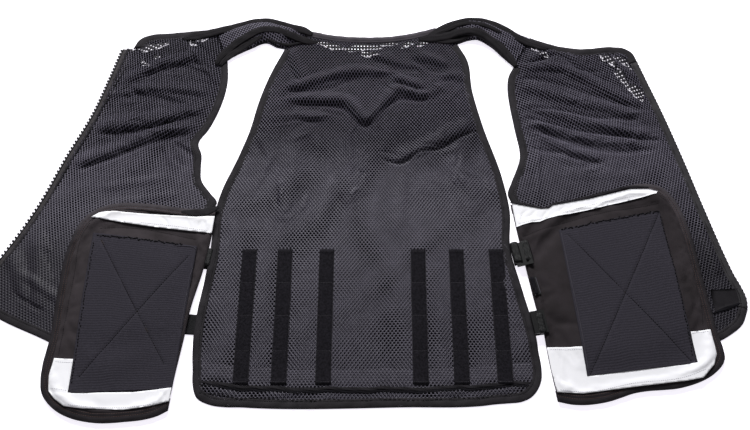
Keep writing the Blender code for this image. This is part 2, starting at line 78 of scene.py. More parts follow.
# Outlines are runs of points, counter-clockwise, each run ending where the next one starts.
BACK_SIDES_AND_HEM = (
    (-149, 312), (-171, 258), (-187, 202), (-197, 151), (-214, 95), (-234, 38), (-241, -1),
    (-241, -68), (-250, -142), (-250, -240), (-241, -278), (-221, -288), (-180, -291), (40, -291),
    (170, -287), (221, -277), (236, -255), (236, -215), (221, -123), (208, -54), (212, 4),
    (205, 60), (179, 162), (166, 230), (161, 290), (146, 322),
)
BACK_SHOULDER_RIGHT = ((146, 322), (109, 354))
BACK_NECK = ((109, 354), (72, 343), (35, 336), (-17, 334), (-72, 339), (-105, 347))
BACK_SHOULDER_LEFT = ((-105, 347), (-149, 312))
LEFT_NECK = ((-272, 354), (-298, 351), (-349, 345), (-383, 341), (-398, 333), (-408, 313))
LEFT_ZIP_HEAD = ((-408, 313), (-427, 311))
LEFT_ZIP = (
    (-427, 311), (-439, 255), (-456, 184), (-487, 98), (-513, 18), (-551, -65), (-587, -126),
)
LEFT_HEM_AND_ARMHOLE = (
    (-587, -126), (-566, -146), (-460, -199), (-340, -254), (-308, -258),
    (-296, -235), (-288, -130), (-266, -30), (-246, 8), (-239, 20), (-251, 37), (-267, 60),
    (-271, 105), (-278, 126), (-264, 152), (-250, 190), (-243, 222), (-241, 250), (-245, 289),
)
LEFT_SHOULDER = ((-245, 289), (-272, 354))
RIGHT_ARMHOLE_AND_HEM = (
    (239, 275), (229, 256), (225, 229), (226, 200), (231, 150), (235, 100), (218, 55), (211, 34),
    (217, 18), (240, -20), (268, -120), (285, -225), (300, -252), (335, -250), (440, -216),
    (511, -190), (533, -173), (544, -152),
)
RIGHT_ZIP = (
    (544, -152), (546, -136), (535, -98), (512, 5), (494, 96), (474, 186), (456, 256), (449, 284),
)
RIGHT_NECK = (
    (449, 284), (443, 303), (430, 313), (412, 316), (356, 312), (317, 318), (272, 335),
)
RIGHT_SHOULDER = ((272, 335), (239, 275))
LEFT_WING_RIM = (
    (-238, 9), (-277, 8), (-339, 16), (-396, 16), (-420, 8), (-440, -11), (-452, -45),
    (-457, -135), (-456, -198), (-459, -235), (-453, -273), (-427, -298), (-387, -311),
    (-333, -311), (-290, -303), (-277, -296),
)
LEFT_WING_INNER = (
    (-277, -296), (-273, -255), (-264, -185), (-262, -161), (-248, -94), (-240, -34), (-238, 9),
)
RIGHT_WING_INNER = (
    (213, 15), (218, -25), (228, -94), (238, -158), (245, -190), (246, -209), (255, -284),
)
RIGHT_WING_RIM = (
    (255, -284), (275, -288), (325, -284), (360, -273), (440, -262), (476, -246), (495, -225),
    (492, -190), (486, -105), (480, -28), (468, 20), (449, 45), (425, 51), (395, 47), (335, 27),
    (285, 15), (266, 5), (240, 9), (213, 15),
)

LEFT_BAND_TOP = (
    (-240, -35), (-238, -7), (-267, -8), (-338, -3), (-389, 1), (-404, 1), (-414, -1), (-425, -8),
    (-387, -15), (-335, -23), (-272, -31),
)
LEFT_BAND_BOTTOM = (
    (-442, -225), (-445, -249), (-442, -270), (-432, -281), (-417, -291), (-391, -294),
    (-337, -296), (-301, -291), (-275, -284), (-274, -266), (-326, -272), (-415, -273),
    (-416, -226),
)
RIGHT_BAND_TOP = (
    (218, -25), (242, -17), (254, -16), (265, -11), (332, 4), (437, 31), (440, 35), (428, 39),
    (398, 39), (334, 22), (277, 11), (270, 6), (258, 5), (214, 14),
)
RIGHT_BAND_BOTTOM = (
    (246, -210), (249, -242), (254, -272), (289, -274), (368, -264), (437, -256), (458, -252),
    (476, -234), (482, -219), (480, -184), (452, -187), (454, -231), (299, -250), (296, -209),
)
# Patches, corner by corner from the upper left, counter-clockwise, and their crossed seams
LEFT_PATCH = ((-418, -34), (-415, -274), (-273, -267), (-260, -56))
RIGHT_PATCH = ((281, -30), (298, -250), (453, -232), (438, 3))
LEFT_CROSS = (((-404, -46), (-288, -234)), ((-272, -72), (-404, -252)))
RIGHT_CROSS = (((294, -38), (446, -229)), ((436, -2), (303, -247)))
# Rough rows of stitches and light selvedges of the patches
LEFT_ROUGH_ROW = ((-411, -39), (-352, -45), (-282, -53))
RIGHT_ROUGH_ROW = ((284, -30), (370, -12), (436, 2))
LEFT_DARK_ROW = ((-414, -49), (-412, -262))
RIGHT_DARK_ROW = ((438, -6), (442, -68), (446, -150), (449, -222))
LEFT_SELVEDGE = ((-294, -55), (-263, -59), (-266, -109), (-270, -182))
RIGHT_SELVEDGE = ((284, -36), (288, -90), (294, -155), (300, -240))
# Rows of stitches on the white bands, and seams that draw the covers in
LEFT_BAND_STITCHES = (
    ((-440, -230), (-417, -231)), ((-412, -289), (-381, -292), (-339, -293), (-300, -289)),
    ((-350, -17), (-290, -24), (-247, -31)), ((-444, -266), (-417, -270)),
)
RIGHT_BAND_STITCHES = (
    ((453, -189), (476, -187)), ((250, -213), (294, -213)),
    ((258, -269), (288, -272), (360, -260), (437, -250), (464, -240)),
    ((221, -20), (251, -13), (298, 1), (333, 11), (404, 28)),
)
LEFT_COVER_SEAMS = (
    ((-404, -4), (-421, -12), (-431, -30), (-436, -102), (-437, -162), (-438, -222)),
    ((-410, -26), (-380, -24), (-351, -26), (-262, -44)),
)
RIGHT_COVER_SEAMS = (
    ((443, 26), (463, 6), (471, -30), (476, -117), (472, -178)),
    ((226, -40), (252, -30), (300, -14), (334, -5), (440, 16)),
)
# Webbing tabs at the sides. Columns: centre x, y, length across the gap, width, turn in degrees
SIDE_TABS = {
    "side_tab_left_upper": (-249, -74, 28, 30, -6),
    "side_tab_left_lower": (-258, -174, 28, 30, -4),
    "side_tab_right_lower": (237, -176, 28, 28, 8),
}
TAB_THICK = 1.5
# The tab that rises to the upper slider: root, turn in degrees, width and thickness, and its path
# in distances out and heights
RISING_TAB = ((210.5, -71), 10, 27.0, 1.3)
RISING_TAB_PATH = (
    (0.2, 0.9), (1.6, 2.6), (3.4, 4.6), (6.4, 6.4), (10.0, 7.4), (14.0, 7.6), (18.0, 7.4),
)
# Rolled webbing. Columns: name, centre, turn in degrees, length, radius, look
ROLLS = (
    ("webbing_roll_left", (-242, -72, 5.6), -7, 27.0, 4.2, "roll"),
    ("webbing_roll_upper_1", (214.5, -66, 8.6), 11, 33.0, 6.6, "roll"),
    ("webbing_roll_upper_2", (230, -64, 9.4), 11, 33.0, 6.8, "roll"),
    ("webbing_roll_lower", (240.5, -175, 10.4), 9, 30.0, 6.0, "roll"),
    ("webbing_roll_keeper", (236, -119, 12.0), 12, 27.0, 3.4, "tape"),
    ("keeper_edge", (241.5, -118, 12.6), 12, 27.0, 1.0, "facing"),
)
# Plastic that keeps its solids, with edges rounded this much
PLASTIC_NODES = ("triglide_right_upper", "buckle_right_lower", "keeper_right")
PLASTIC_ROUNDING = 1.2

# Creases and low ridges beside the folds: reach to each side, rise, points
BACK_CREASES = (
    (7, -3.4, ((-139, 224), (-92, 226), (-61, 233), (-42, 244), (-24, 246))),
    (7, -3.4, ((-127, 198), (-70, 196), (-43, 187), (-27, 170), (-12, 155), (1, 168), (20, 190),
               (46, 208), (79, 206), (104, 218))),
    (14, -3.4, ((18, 294), (40, 286), (62, 278))),
    (11, -3.2, ((84, 286), (106, 277), (124, 266))),
    (5, -3.0, ((178, 152), (135, 133), (116, 117), (77, 109), (44, 88), (15, 96))),
    (10, -3.4, ((10, 302), (35, 284), (64, 266), (78, 268))),
    (6, -3.0, ((39, 244), (68, 229), (90, 224))),
    (9, -3.4, ((66, 290), (93, 272), (128, 260))),
    (7, -3.2, ((-148, 300), (-136, 264), (-119, 240))),
    (7, -2.6, ((-156, 170), (-113, 168), (-90, 164))), (8, -2.4, ((-186, 132), (-167, 88))),
    (8, -2.2, ((112, 246), (146, 242))), (12, -1.8, ((-150, 100), (-172, 30))),
    (12, -1.8, ((130, 60), (178, -20))), (14, 1.4, ((-60, 60), (-80, -40))),
    (14, 1.4, ((50, 70), (40, -30))), (6, 1.6, ((-236, -262), (-170, -280))),
    (7, 1.8, ((-150, -276), (-90, -272))), (7, 1.8, ((60, -276), (130, -270))),
    (6, 1.6, ((150, -274), (226, -262))), (8, -1.6, ((-226, -90), (-205, -150), (-222, -200))),
    (8, 1.4, ((196, -100), (206, -170), (222, -230))),
)
BACK_HEM_SEAM = (
    (-239, -259), (-181, -265), (-125, -268), (1, -268), (85, -268), (150, -264), (226, -259),
)
LEFT_CREASES = (
    (8, -3.4, ((-383, 253), (-357, 264), (-323, 274), (-287, 261), (-268, 250))),
    (8, -3.4, ((-427, 214), (-400, 228), (-379, 214), (-351, 210), (-322, 201), (-290, 192))),
    (8, -3.0, ((-451, 142), (-409, 142), (-363, 150), (-321, 166), (-275, 176))),
    (8, -3.4, ((-462, 76), (-404, 102), (-359, 122), (-292, 143))),
    (7, -2.6, ((-313, 128), (-301, 112), (-282, 98))),
    (8, 4.2, ((-317, 314), (-300, 298), (-283, 275), (-268, 254), (-256, 239))),
    (9, -4.2, ((-316, 324), (-295, 314), (-281, 298), (-268, 277), (-255, 254))),
    (5, -2.6, ((-526, -50), (-534, -66), (-543, -84))),
    (5, -3.0, ((-548, -116), (-521, -130), (-478, -154), (-462, -163))),
    (11, 2.4, ((-516, -96), (-476, -122), (-452, -138))),
    (9, -2.4, ((-489, -59), (-462, -99), (-446, -126))),
    (12, -2.0, ((-505, 10), (-470, -60))), (12, 1.6, ((-420, 45), (-330, 62))),
    (12, 1.4, ((-390, 20), (-300, 34))),
)
RIGHT_CREASES = (
    (6, -3.8, ((254, 283), (287, 286), (299, 294), (311, 298), (325, 293), (333, 286), (344, 270),
               (384, 262))),
    (7, 2.8, ((262, 296), (288, 299), (302, 307), (318, 306), (336, 298), (350, 282))),
    (10, -2.6, ((352, 270), (376, 254), (396, 240))),
    (8, -3.4, ((258, 252), (300, 242), (347, 225), (399, 202), (424, 190))),
    (8, -3.2, ((250, 190), (310, 186), (355, 174), (442, 170))),
    (6, -3.4, ((252, 172), (290, 160), (338, 147), (412, 136), (463, 130))),
    (8, -3.2, ((270, 146), (335, 120), (387, 109), (449, 113))),
    (8, -2.6, ((262, 114), (297, 106), (329, 96), (366, 84))),
    (5, 1.6, ((266, 128), (261, 73), (256, 24))), (12, -2.0, ((478, 30), (498, -90))),
    (9, -2.2, ((508, -40), (520, -130))), (6, -2.6, ((496, -172), (516, -160), (538, -150))),
    (14, 1.4, ((300, 70), (420, 66))),
)

# Spots with nothing opaque behind the net, so that the floor shows through its holes.
# Columns: centre x, y, half width, half height, turn in degrees
SEE_THROUGH_BACK = (
    (-84, 321, 15, 5, -22), (-63, 314, 15, 7, -22), (-16, 313, 31, 8, 5), (-5, 298, 15, 5, -8),
    (60, 319, 11, 5, 32), (87, 322, 11, 5, 35), (28, 322, 14, 5, 5),
)
SEE_THROUGH_LEFT = (
    (-376, 314, 25, 7, 12), (-383, 279, 11, 4, -40), (-364, 293, 6, 3, 0), (-307, 323, 7, 4, -25),
    (-289, 331, 11, 4, 25),
)
SEE_THROUGH_RIGHT = (
    (277, 311, 8, 4, -45), (292, 298, 8, 5, -10), (398, 287, 16, 7, -50), (416, 252, 17, 6, -65),
    (424, 284, 18, 6, -45), (437, 222, 18, 10, -55),
)

# Folds: ridges from one point to another. Columns: x0, y0, x1, y1, reach to each side, rise
BACK_FOLDS = (
    (-142, 228, -93, 244, 15, 7), (-93, 244, -43, 260, 16, 8), (-43, 260, 25, 260, 17, 7),
    (-144, 207, -92, 205, 14, 7), (-92, 205, -43, 203, 15, 8), (-43, 203, -10, 168, 16, 9),
    (-10, 168, 25, 207, 16, 8), (25, 207, 38, 223, 14, 7), (38, 223, 97, 217, 15, 7),
    (97, 217, 109, 234, 13, 5), (35, 252, 83, 230, 14, 6), (115, 258, 153, 252, 13, 4),
    (2, 297, 59, 273, 16, 7), (74, 297, 126, 273, 15, 6),
    (-139, 306, -115, 248, 14, 6), (-159, 170, -73, 174, 14, 5),
    (157, 159, 102, 125, 18, 6), (102, 125, 38, 94, 18, 5),
    (-55, 150, -36, 20, 26, 3), (-118, 150, -135, -10, 28, 4), (128, 100, 160, 0, 28, 4),
    (-241, -52, -246, -104, 24, 4.2), (-253, -146, -252, -204, 24, 4.2),
    (227, -146, 233, -206, 24, 3.0),
)
LEFT_FOLDS = (
    (-407, 244, -355, 277, 16, 8), (-355, 277, -294, 293, 17, 7),
    (-427, 219, -367, 228, 15, 7), (-367, 228, -275, 221, 16, 8),
    (-441, 153, -364, 163, 20, 9), (-364, 163, -288, 186, 18, 8),
    (-467, 87, -405, 114, 18, 7), (-405, 114, -360, 138, 17, 8), (-360, 138, -292, 155, 16, 8),
    (-295, 123, -276, 106, 12, 4),
    (-500, -40, -482, -150, 22, 5), (-535, -70, -500, -140, 18, 4),
)
RIGHT_FOLDS = (
    (258, 271, 315, 269, 17, 7), (315, 269, 347, 252, 16, 8), (347, 252, 396, 219, 16, 8),
    (396, 219, 438, 195, 16, 7), (255, 232, 334, 203, 18, 8), (334, 203, 415, 180, 17, 7),
    (415, 180, 450, 166, 16, 5), (252, 195, 322, 168, 15, 7), (322, 168, 410, 146, 15, 8),
    (410, 146, 458, 134, 15, 6), (260, 161, 355, 129, 14, 7), (355, 129, 427, 122, 13, 6),
    (266, 136, 325, 107, 14, 6), (325, 107, 360, 96, 14, 5),
    (385, 293, 403, 277, 12, 5), (403, 277, 440, 250, 13, 5),
    (500, -10, 513, -100, 13, 5),
)

# Shoulder straps from front to back. Columns: neck-side x, y, arm-side x, y, height
STRAPS = {
    "left": (
        (-272, 354, -245, 289, 3), (-240, 358, -229, 300, 11), (-210, 366, -208, 312, 15),
        (-176, 367, -180, 324, 17), (-141, 360, -162, 315, 14), (-105, 347, -149, 312, 3),
    ),
    "right": (
        (109, 354, 146, 322, 3), (131, 363, 166, 330, 13), (169, 370, 178, 332, 17),
        (205, 365, 202, 317, 16), (239, 350, 223, 293, 12), (272, 335, 239, 275, 3),
    ),
}
# Parts of a strap between two rows of its table, and from arm side to neck side
STRAP_PARTS = 8
STRAP_ACROSS = 16
# Rolled bands over the straps: name, width, rise, points of the middle line
STRAP_BANDS = {
    "left": (
        ("neck", 16.0, 3.0, (
            (-324, 331), (-293, 338), (-268, 346), (-242, 354), (-222, 359), (-201, 364),
            (-182, 365), (-155, 358), (-137, 353), (-119, 349), (-102, 340),
        )),
        ("lower", 14.0, 2.8, (
            (-187, 333), (-205, 323), (-222, 311), (-237, 300), (-248, 289), (-256, 275),
        )),
        ("lens_edge", 5.0, 2.2, (
            (-184, 331), (-172, 325), (-161, 321), (-146, 318), (-128, 321), (-108, 326),
        )),
        ("roll", 14.0, 4.0, (
            (-92, 324), (-108, 325), (-124, 331), (-143, 337), (-163, 343), (-180, 344),
            (-195, 341), (-212, 331), (-229, 320), (-243, 308), (-255, 295), (-263, 277),
        )),
    ),
    "right": (
        ("neck", 15.0, 2.8, (
            (96, 337), (110, 344), (127, 354), (147, 361), (167, 366), (187, 366), (206, 360),
            (225, 350), (244, 336), (262, 325), (284, 315), (300, 309),
        )),
        ("ridge", 9.0, 3.8, (
            (92, 334), (106, 339), (130, 348), (150, 355), (170, 357), (189, 353), (204, 347),
            (222, 337),
        )),
        ("edge", 11.0, 2.6, (
            (100, 328), (120, 326), (136, 327), (152, 331), (170, 338), (187, 335), (206, 322),
            (222, 302), (237, 277),
        )),
        ("roll", 17.0, 4.2, (
            (80, 330), (98, 331), (126, 335), (149, 341), (169, 342), (188, 336), (203, 325),
            (218, 309), (231, 292), (243, 273),
        )),
    ),
}
# Cross-section of a rolled band. Columns: share of its half width, share of its rise
ROLLED_PROFILE = (
    (-1.0, 0.0), (-0.96, 0.45), (-0.82, 0.8), (-0.55, 0.97), (-0.3, 1.0), (0.0, 1.02), (0.3, 1.0),
    (0.55, 0.95), (0.7, 0.75), (0.82, 0.9), (0.96, 0.45), (1.0, 0.0),
)

# How far folds lean towards the hem, the share of its rise that a front's fold gets, and how high
# the wrinkled upper cloth billows
FOLD_LEAN = 0.3
FRONT_FOLD_DEPTH = 0.78
BILLOW = 2.6
# Steps along the folds' curves, and the length over which they fade at their ends
CURVE_STEP = 8.0
CURVE_TAPER = 16.0
# How many small wrinkles a panel gets, and the Y above which its cloth is wrinkled
WRINKLES = 70
WRINKLE_FOOT = 60.0

# Net fabric: distance between holes in a row and between rows, and the outer and hole rings
PITCH = 5.26
ROW = 3.48
RING_OUT = (
    (0.0, 2.735), (-2.63, 0.745), (-2.63, -0.745), (0.0, -2.735), (2.63, -0.745), (2.63, 0.745),
)
RING_HOLE = ((0.0, 1.79), (-1.6, 0.89), (-1.6, -0.89), (0.0, -1.79), (1.6, -0.89), (1.6, 0.89))
# How wide the holes are drawn, as a share, at each Y of the table
BACK_OPENING = ((-290, -220, -40, 60, 150, 340), (1.1, 1.06, 0.98, 0.98, 1.24, 1.34))
LEFT_OPENING = ((-150, -20, 60, 130, 340), (0.8, 0.85, 1.0, 1.24, 1.32))
RIGHT_OPENING = ((-180, 20, 80, 140, 340), (1.0, 1.03, 1.06, 1.17, 1.3))
STRAP_OPENING = ((0, 400), (1.15, 1.15))
# The same in the spots where the floor shows through, in the even rows and in the odd ones
SPOT_OPENINGS = (0.72, 0.06)
# The fronts' under nets end this far inside the wings that lie over them
HIDDEN_INSET = 16.0
# The lattice's turn on the straps, in degrees
STRAP_TURN = 20.0

# Cross-sections of the bands along the edges. Columns: distance in from the edge, height
BINDING_PROFILE = (
    (0.0, 0.1), (0.0, 1.0), (0.6, 2.2), (2.0, 3.0), (4.1, 3.3), (6.4, 3.35), (8.5, 3.2),
    (9.5, 2.75), (10.5, 3.1), (12.0, 3.0), (12.8, 2.3), (12.8, 0.1),
)
NECK_PROFILE = (
    (0.0, 0.1), (0.0, 1.2), (0.8, 2.5), (2.6, 3.4), (5.2, 3.8), (8.2, 3.85), (10.8, 3.6),
    (12.0, 3.0), (13.2, 3.4), (14.8, 3.2), (15.6, 2.4), (15.6, 0.1),
)
WING_BINDING_PROFILE = (
    (0.0, 3.6), (-0.2, 4.6), (0.3, 6.2), (1.8, 7.5), (4.2, 8.3), (6.6, 8.6), (7.6, 8.2),
    (8.6, 8.8), (10.6, 9.2), (12.6, 9.3), (13.6, 8.8), (13.8, 3.6),
)
COLLAR_PROFILE = (
    (0.0, 0.1), (-1.1, 1.4), (-1.5, 3.0), (-0.6, 4.4), (1.4, 5.0), (4.0, 5.1), (6.6, 4.6),
    (7.4, 3.8), (8.2, 4.0), (9.6, 3.6), (10.4, 2.3), (10.4, 0.1),
)
ZIP_TAPE_PROFILE = (
    (3.4, 0.1), (3.4, 1.6), (4.4, 1.9), (5.6, 1.3), (6.4, 0.9), (17.0, 0.8), (17.4, 0.1),
)
ZIP_CORD_PROFILE = (
    (1.4, 0.4), (1.1, 1.2), (1.5, 2.0), (2.4, 2.2), (3.2, 1.7), (3.3, 0.8), (2.6, 0.3),
)
NET_HEM_PROFILE = (
    (8.6, 0.9), (8.3, 1.8), (8.9, 2.8), (10.2, 3.1), (11.6, 2.8), (12.2, 2.0), (12.2, 0.9),
)

# How far above its seam the hem's facing starts and ends
HEM_FACING = (9.0, 30.0)
CORNER_FACING = (
    (495, -122), (515, -121), (537, -120), (541, -131), (538, -142), (514, -149), (496, -155),
    (495, -139),
)
# Folded edges and seams, before and after the corner's facing. Columns: name, panel that it
# follows, height over that or over the floor, width, rise, look, points of the middle line
# The left corner's fold is a crumple of the front's corner, and its dark tape colour also paints the
# shade on the wing's rim there
CORNER_FOLDS = (
    ("corner_fold_painted_shade_left", None, 9.2, 12.0, 2.0, "edge_tape", (
        (-290, 1), (-266, -1), (-250, 1), (-234, 10),
    )),
)
FOLDED_EDGES = (
    ("corner_seam_right", "right", 2.9, 5.0, 1.2, "base", (
        (492, -158), (504, -153), (516, -149), (535, -142),
    )),
    ("zip_seam_left", "left", 2.0, 2.6, 0.9, "base", (
        (-414, 275), (-420, 256), (-426, 240), (-432, 214), (-438, 200), (-445, 184),
        (-447, 170), (-455, 146), (-462, 128), (-478, 84), (-497, 30),
    )),
    ("band_edge_right", None, 9.6, 5.0, 1.4, "edge_tape", (
        (212, 17), (240, 12), (257, 7), (268, 7), (277, 13), (300, 18), (334, 26), (366, 35),
        (398, 43), (428, 43),
    )),
)
# The white bands lie over the rim's tape, which is this high
BAND_SEAT = 10.0
BAND_CREASES = {
    ("left", "top"): (
        ((-280, -10), (-276, -20), (-273, -30)), ((-257, -11), (-261, -21), (-262, -33)),
        ((-321, -6), (-311, -15), (-307, -25)),
    ),
    ("left", "bottom"): (
        ((-440, -270), (-429, -272), (-416, -275)), ((-289, -269), (-283, -277), (-281, -287)),
    ),
    ("right", "top"): (
        ((238, 4), (227, -6), (226, -16)), ((250, 4), (242, -6), (235, -11)),
        ((269, 4), (261, -6), (256, -13)), ((297, 11), (288, 4), (285, -1)),
    ),
    ("right", "bottom"): (
        ((258, -215), (263, -225), (263, -235)), ((273, -213), (276, -222), (280, -232)),
    ),
}
# Reach and rise of these creases
BAND_CREASE = (3.2, -0.85)

# The patches: distance from rib to rib and between the rows of their mesh, the ribs' and selvedge's
# rise, the crossed seams' depth and reach, how high the upper side lies, and the thickness
RIB_PITCH = 3.7
PATCH_ROW = 0.62
RIB_RISE = 0.26
SELVEDGE_RISE = 0.25
CROSS_DEPTH = 1.1
CROSS_REACH = 2.8
PATCH_LIFT = 1.5
PATCH_THICK = 1.4
# What a patch lies on: the pad's heights on a coarse grid of these rows and columns, smoothed so
# many times, at least so high and at most so far into the pad
SEAT_ROWS = 33
SEAT_COLUMNS = 21
PATCH_SMOOTHINGS = 3
PATCH_LEAST = 8.6
PATCH_SINK = 0.8

# Threads on the patches. Columns: name, look, height, and pitch, length, width and stray
PATCH_THREADS = (
    ("cross", "thread", 0.2, (3.6, 2.8, 1.2, 0.0)),
    ("rough", "thread", 0.4, (2.6, 3.6, 1.9, 0.7)),
    ("dark", "thread", 0.4, (4.6, 3.0, 1.6, 0.4)),
    ("selvedge", "facing", 0.4, (1.8, 2.4, 1.1, 0.0)),
)

# The pads: heights of the underside and the rim, rise towards the middle and the width of that
# slope, the rim that is held, the frames of the simulation and how far it may move a point, in
# metres, the reach and depth of seams and the height below which they press nothing in
PAD_FLOOR = 3.6
PAD_RIM = 7.6
PAD_CROWN = 2.2
PAD_SLOPE = 9.0
PAD_HELD = 2.0
SWELL_FRAMES = 20
SWELL_MOST = 0.003
COVER_SEAM = (5.5, 1.2)
COVER_SEAM_FLOOR = 6.0
# Rows of stitches on the pads' rims: distance in, height
RIM_SEAMS = ((7.6, 8.6), (11.6, 9.5))

# The zip's teeth: pitch, place (distance in, height), and rings of distance out, half length and
# half height
TOOTH_PITCH = 6.4
TOOTH_PLACE = (1.3, 1.4)
TOOTH_RINGS = ((-1.6, 1.3, 1.1), (0.8, 1.3, 1.3), (2.6, 1.7, 1.35), (4.2, 1.35, 0.9))

# The upright tapes: middles, width, ends, rows of stitches and the rings they are drawn in
TAPE_CENTRES = (-182, -129, -67, 69, 126, 186)
TAPE_WIDTH = 22.0
TAPE_TOP = -58.0
TAPE_FOOT = -260.0
TAPE_STITCH_ROWS = (-111.0, -161.0, -213.0)
TAPE_RINGS = 82

# Bands along the panels' edges. Columns: name, node that it replaces, kind of edge, cross-section,
# look, slot, pucker, and how far in a row of stitches lies on it
BACK_BANDS = (
    ("back_edge_tape", "back_edge_binding", "edge", BINDING_PROFILE, "binding", "binding", 0.25, 9.5),
    ("back_neck_tape", "back_neck_binding", "neck", COLLAR_PROFILE, "collar", "binding", 0.25, 7.4),
)
FRONT_BANDS = (
    ("front_neck_tape", "front_neck_binding", "neck", NECK_PROFILE, "binding", "binding", 0.25, 12.0),
    ("front_edge_tape", "front_edge_binding", "edge", BINDING_PROFILE, "binding", "binding", 0.25, 9.5),
)
LEFT_ZIP_BAND = (
    "zip_woven_tape", "zip_tape", "zip", ZIP_TAPE_PROFILE, "zip_tape_left", "webbing", 0.0, 0.0,
)
RIGHT_ZIP_BAND = (
    "zip_woven_tape", "zip_tape", "zip", BINDING_PROFILE, "zip_tape_right", "webbing", 0.0, 0.0,
)
ZIP_EDGES = (
    ("zip_cord", "", "zip", ZIP_CORD_PROFILE, "teeth", "plastic", 0.0, 0.0),
    ("net_hem", "", "zip", NET_HEM_PROFILE, "binding", "binding", 0.5, 0.0),
)
# The net panels: the outline's runs with the kind of edge each is, bands, folds and their depth,
# creases, the lattice's turn in degrees, holes' widths, spots, insets where the cloth ends before
# or after the net, looks of the under and the upper net, the wing that lies over it, and the share
# of their length that the zip's teeth reach out by
PANELS = {
    "back": {
        "part": "back", "suffix": "",
        "runs": (
            ("edge", BACK_SIDES_AND_HEM), ("shoulder", BACK_SHOULDER_RIGHT), ("neck", BACK_NECK),
            ("shoulder", BACK_SHOULDER_LEFT),
        ),
        "bands": BACK_BANDS, "folds": BACK_FOLDS, "depth": 1.0, "creases": BACK_CREASES,
        "turn": 0.0, "opening": BACK_OPENING, "spots": SEE_THROUGH_BACK, "cloth_insets": {},
        "net_looks": ("net_under", "net"), "wing": None,
    },
    "left": {
        "part": "front", "suffix": "_left",
        "runs": (
            ("neck", LEFT_NECK), ("zip_head", LEFT_ZIP_HEAD), ("zip", LEFT_ZIP),
            ("edge", LEFT_HEM_AND_ARMHOLE), ("shoulder", LEFT_SHOULDER),
        ),
        "bands": (*FRONT_BANDS, LEFT_ZIP_BAND, *ZIP_EDGES), "folds": LEFT_FOLDS,
        "depth": FRONT_FOLD_DEPTH, "creases": LEFT_CREASES, "turn": -25.0,
        "opening": LEFT_OPENING, "spots": SEE_THROUGH_LEFT, "cloth_insets": {"zip": ZIP_REACH},
        "net_looks": ("front_under", "front_net"), "wing": "left", "teeth_out": 0.65,
    },
    "right": {
        "part": "front", "suffix": "_right",
        "runs": (
            ("edge", RIGHT_ARMHOLE_AND_HEM), ("zip", RIGHT_ZIP), ("neck", RIGHT_NECK),
            ("shoulder", RIGHT_SHOULDER),
        ),
        "bands": (*FRONT_BANDS, RIGHT_ZIP_BAND, *ZIP_EDGES), "folds": RIGHT_FOLDS,
        "depth": FRONT_FOLD_DEPTH, "creases": RIGHT_CREASES, "turn": 20.0,
        "opening": RIGHT_OPENING, "spots": SEE_THROUGH_RIGHT, "cloth_insets": {"zip": 9.0},
        "net_looks": ("front_under", "front_net"), "wing": "right", "teeth_out": 0.3,
    },
}
# The padded wings: the outline's runs and which of them has a binding, white bands, patch, lines
# of threads on it, seams of the cover, and rows of stitches on the bands
WINGS = {
    "left": {
        "runs": (LEFT_WING_RIM, LEFT_WING_INNER), "bound": 0,
        "bands": {"top": LEFT_BAND_TOP, "bottom": LEFT_BAND_BOTTOM}, "patch": LEFT_PATCH,
        "cross": LEFT_CROSS, "rough": (LEFT_ROUGH_ROW,), "dark": (LEFT_DARK_ROW,),
        "selvedge": (LEFT_SELVEDGE,), "seams": LEFT_COVER_SEAMS,
        "band_stitches": LEFT_BAND_STITCHES,
    },
    "right": {
        "runs": (RIGHT_WING_INNER, RIGHT_WING_RIM), "bound": 1,
        "bands": {"top": RIGHT_BAND_TOP, "bottom": RIGHT_BAND_BOTTOM}, "patch": RIGHT_PATCH,
        "cross": RIGHT_CROSS, "rough": (RIGHT_ROUGH_ROW,), "dark": (RIGHT_DARK_ROW,),
        "selvedge": (RIGHT_SELVEDGE,), "seams": RIGHT_COVER_SEAMS,
        "band_stitches": RIGHT_BAND_STITCHES,
    },
}

# Area lights, aimed at the frame's origin. Columns: name, place and size in metres, watts
LIGHTS = (
    ("key", (-0.5, 2.7, 2.3), (2.0, 0.8), 188.0),
    ("fill", (0.6, -1.6, 1.8), (1.5, 1.5), 4.0),
)

# The world's light, the floor's two tones, and the faint light of the floor and the white bands:
# colour and strength
WORLD_LIGHT = ((0.94, 0.92, 1.0, 1.0), 0.12)
FLOOR_TONES = ((0.80, 0.79, 0.81), (0.82, 0.81, 0.83))
FLOOR_GLOW = ((0.95, 0.92, 1.0, 1.0), 0.85)
WHITE_GLOW = ((0.97, 0.96, 1.0, 1.0), 0.07)

# One millimetre of cloth in the weave's coordinates, and the wave texture's scale at which its
# bands are one of these coordinates wide
WEAVE_UNIT = 0.01
BAND_SCALE = 0.31416
# Weaves: pitch in millimetres, direction and depth in metres of each set of bands
TWILL = {"bands": ((1.1, "DIAGONAL", 0.00025),)}
ZIP_TWILL = {"bands": ((1.0, "DIAGONAL", 0.0002),)}
COVER_WEAVE = {"bands": ((0.9, "X", 0.00012), (0.9, "Y", 0.00012)), "mottle": 35.0}
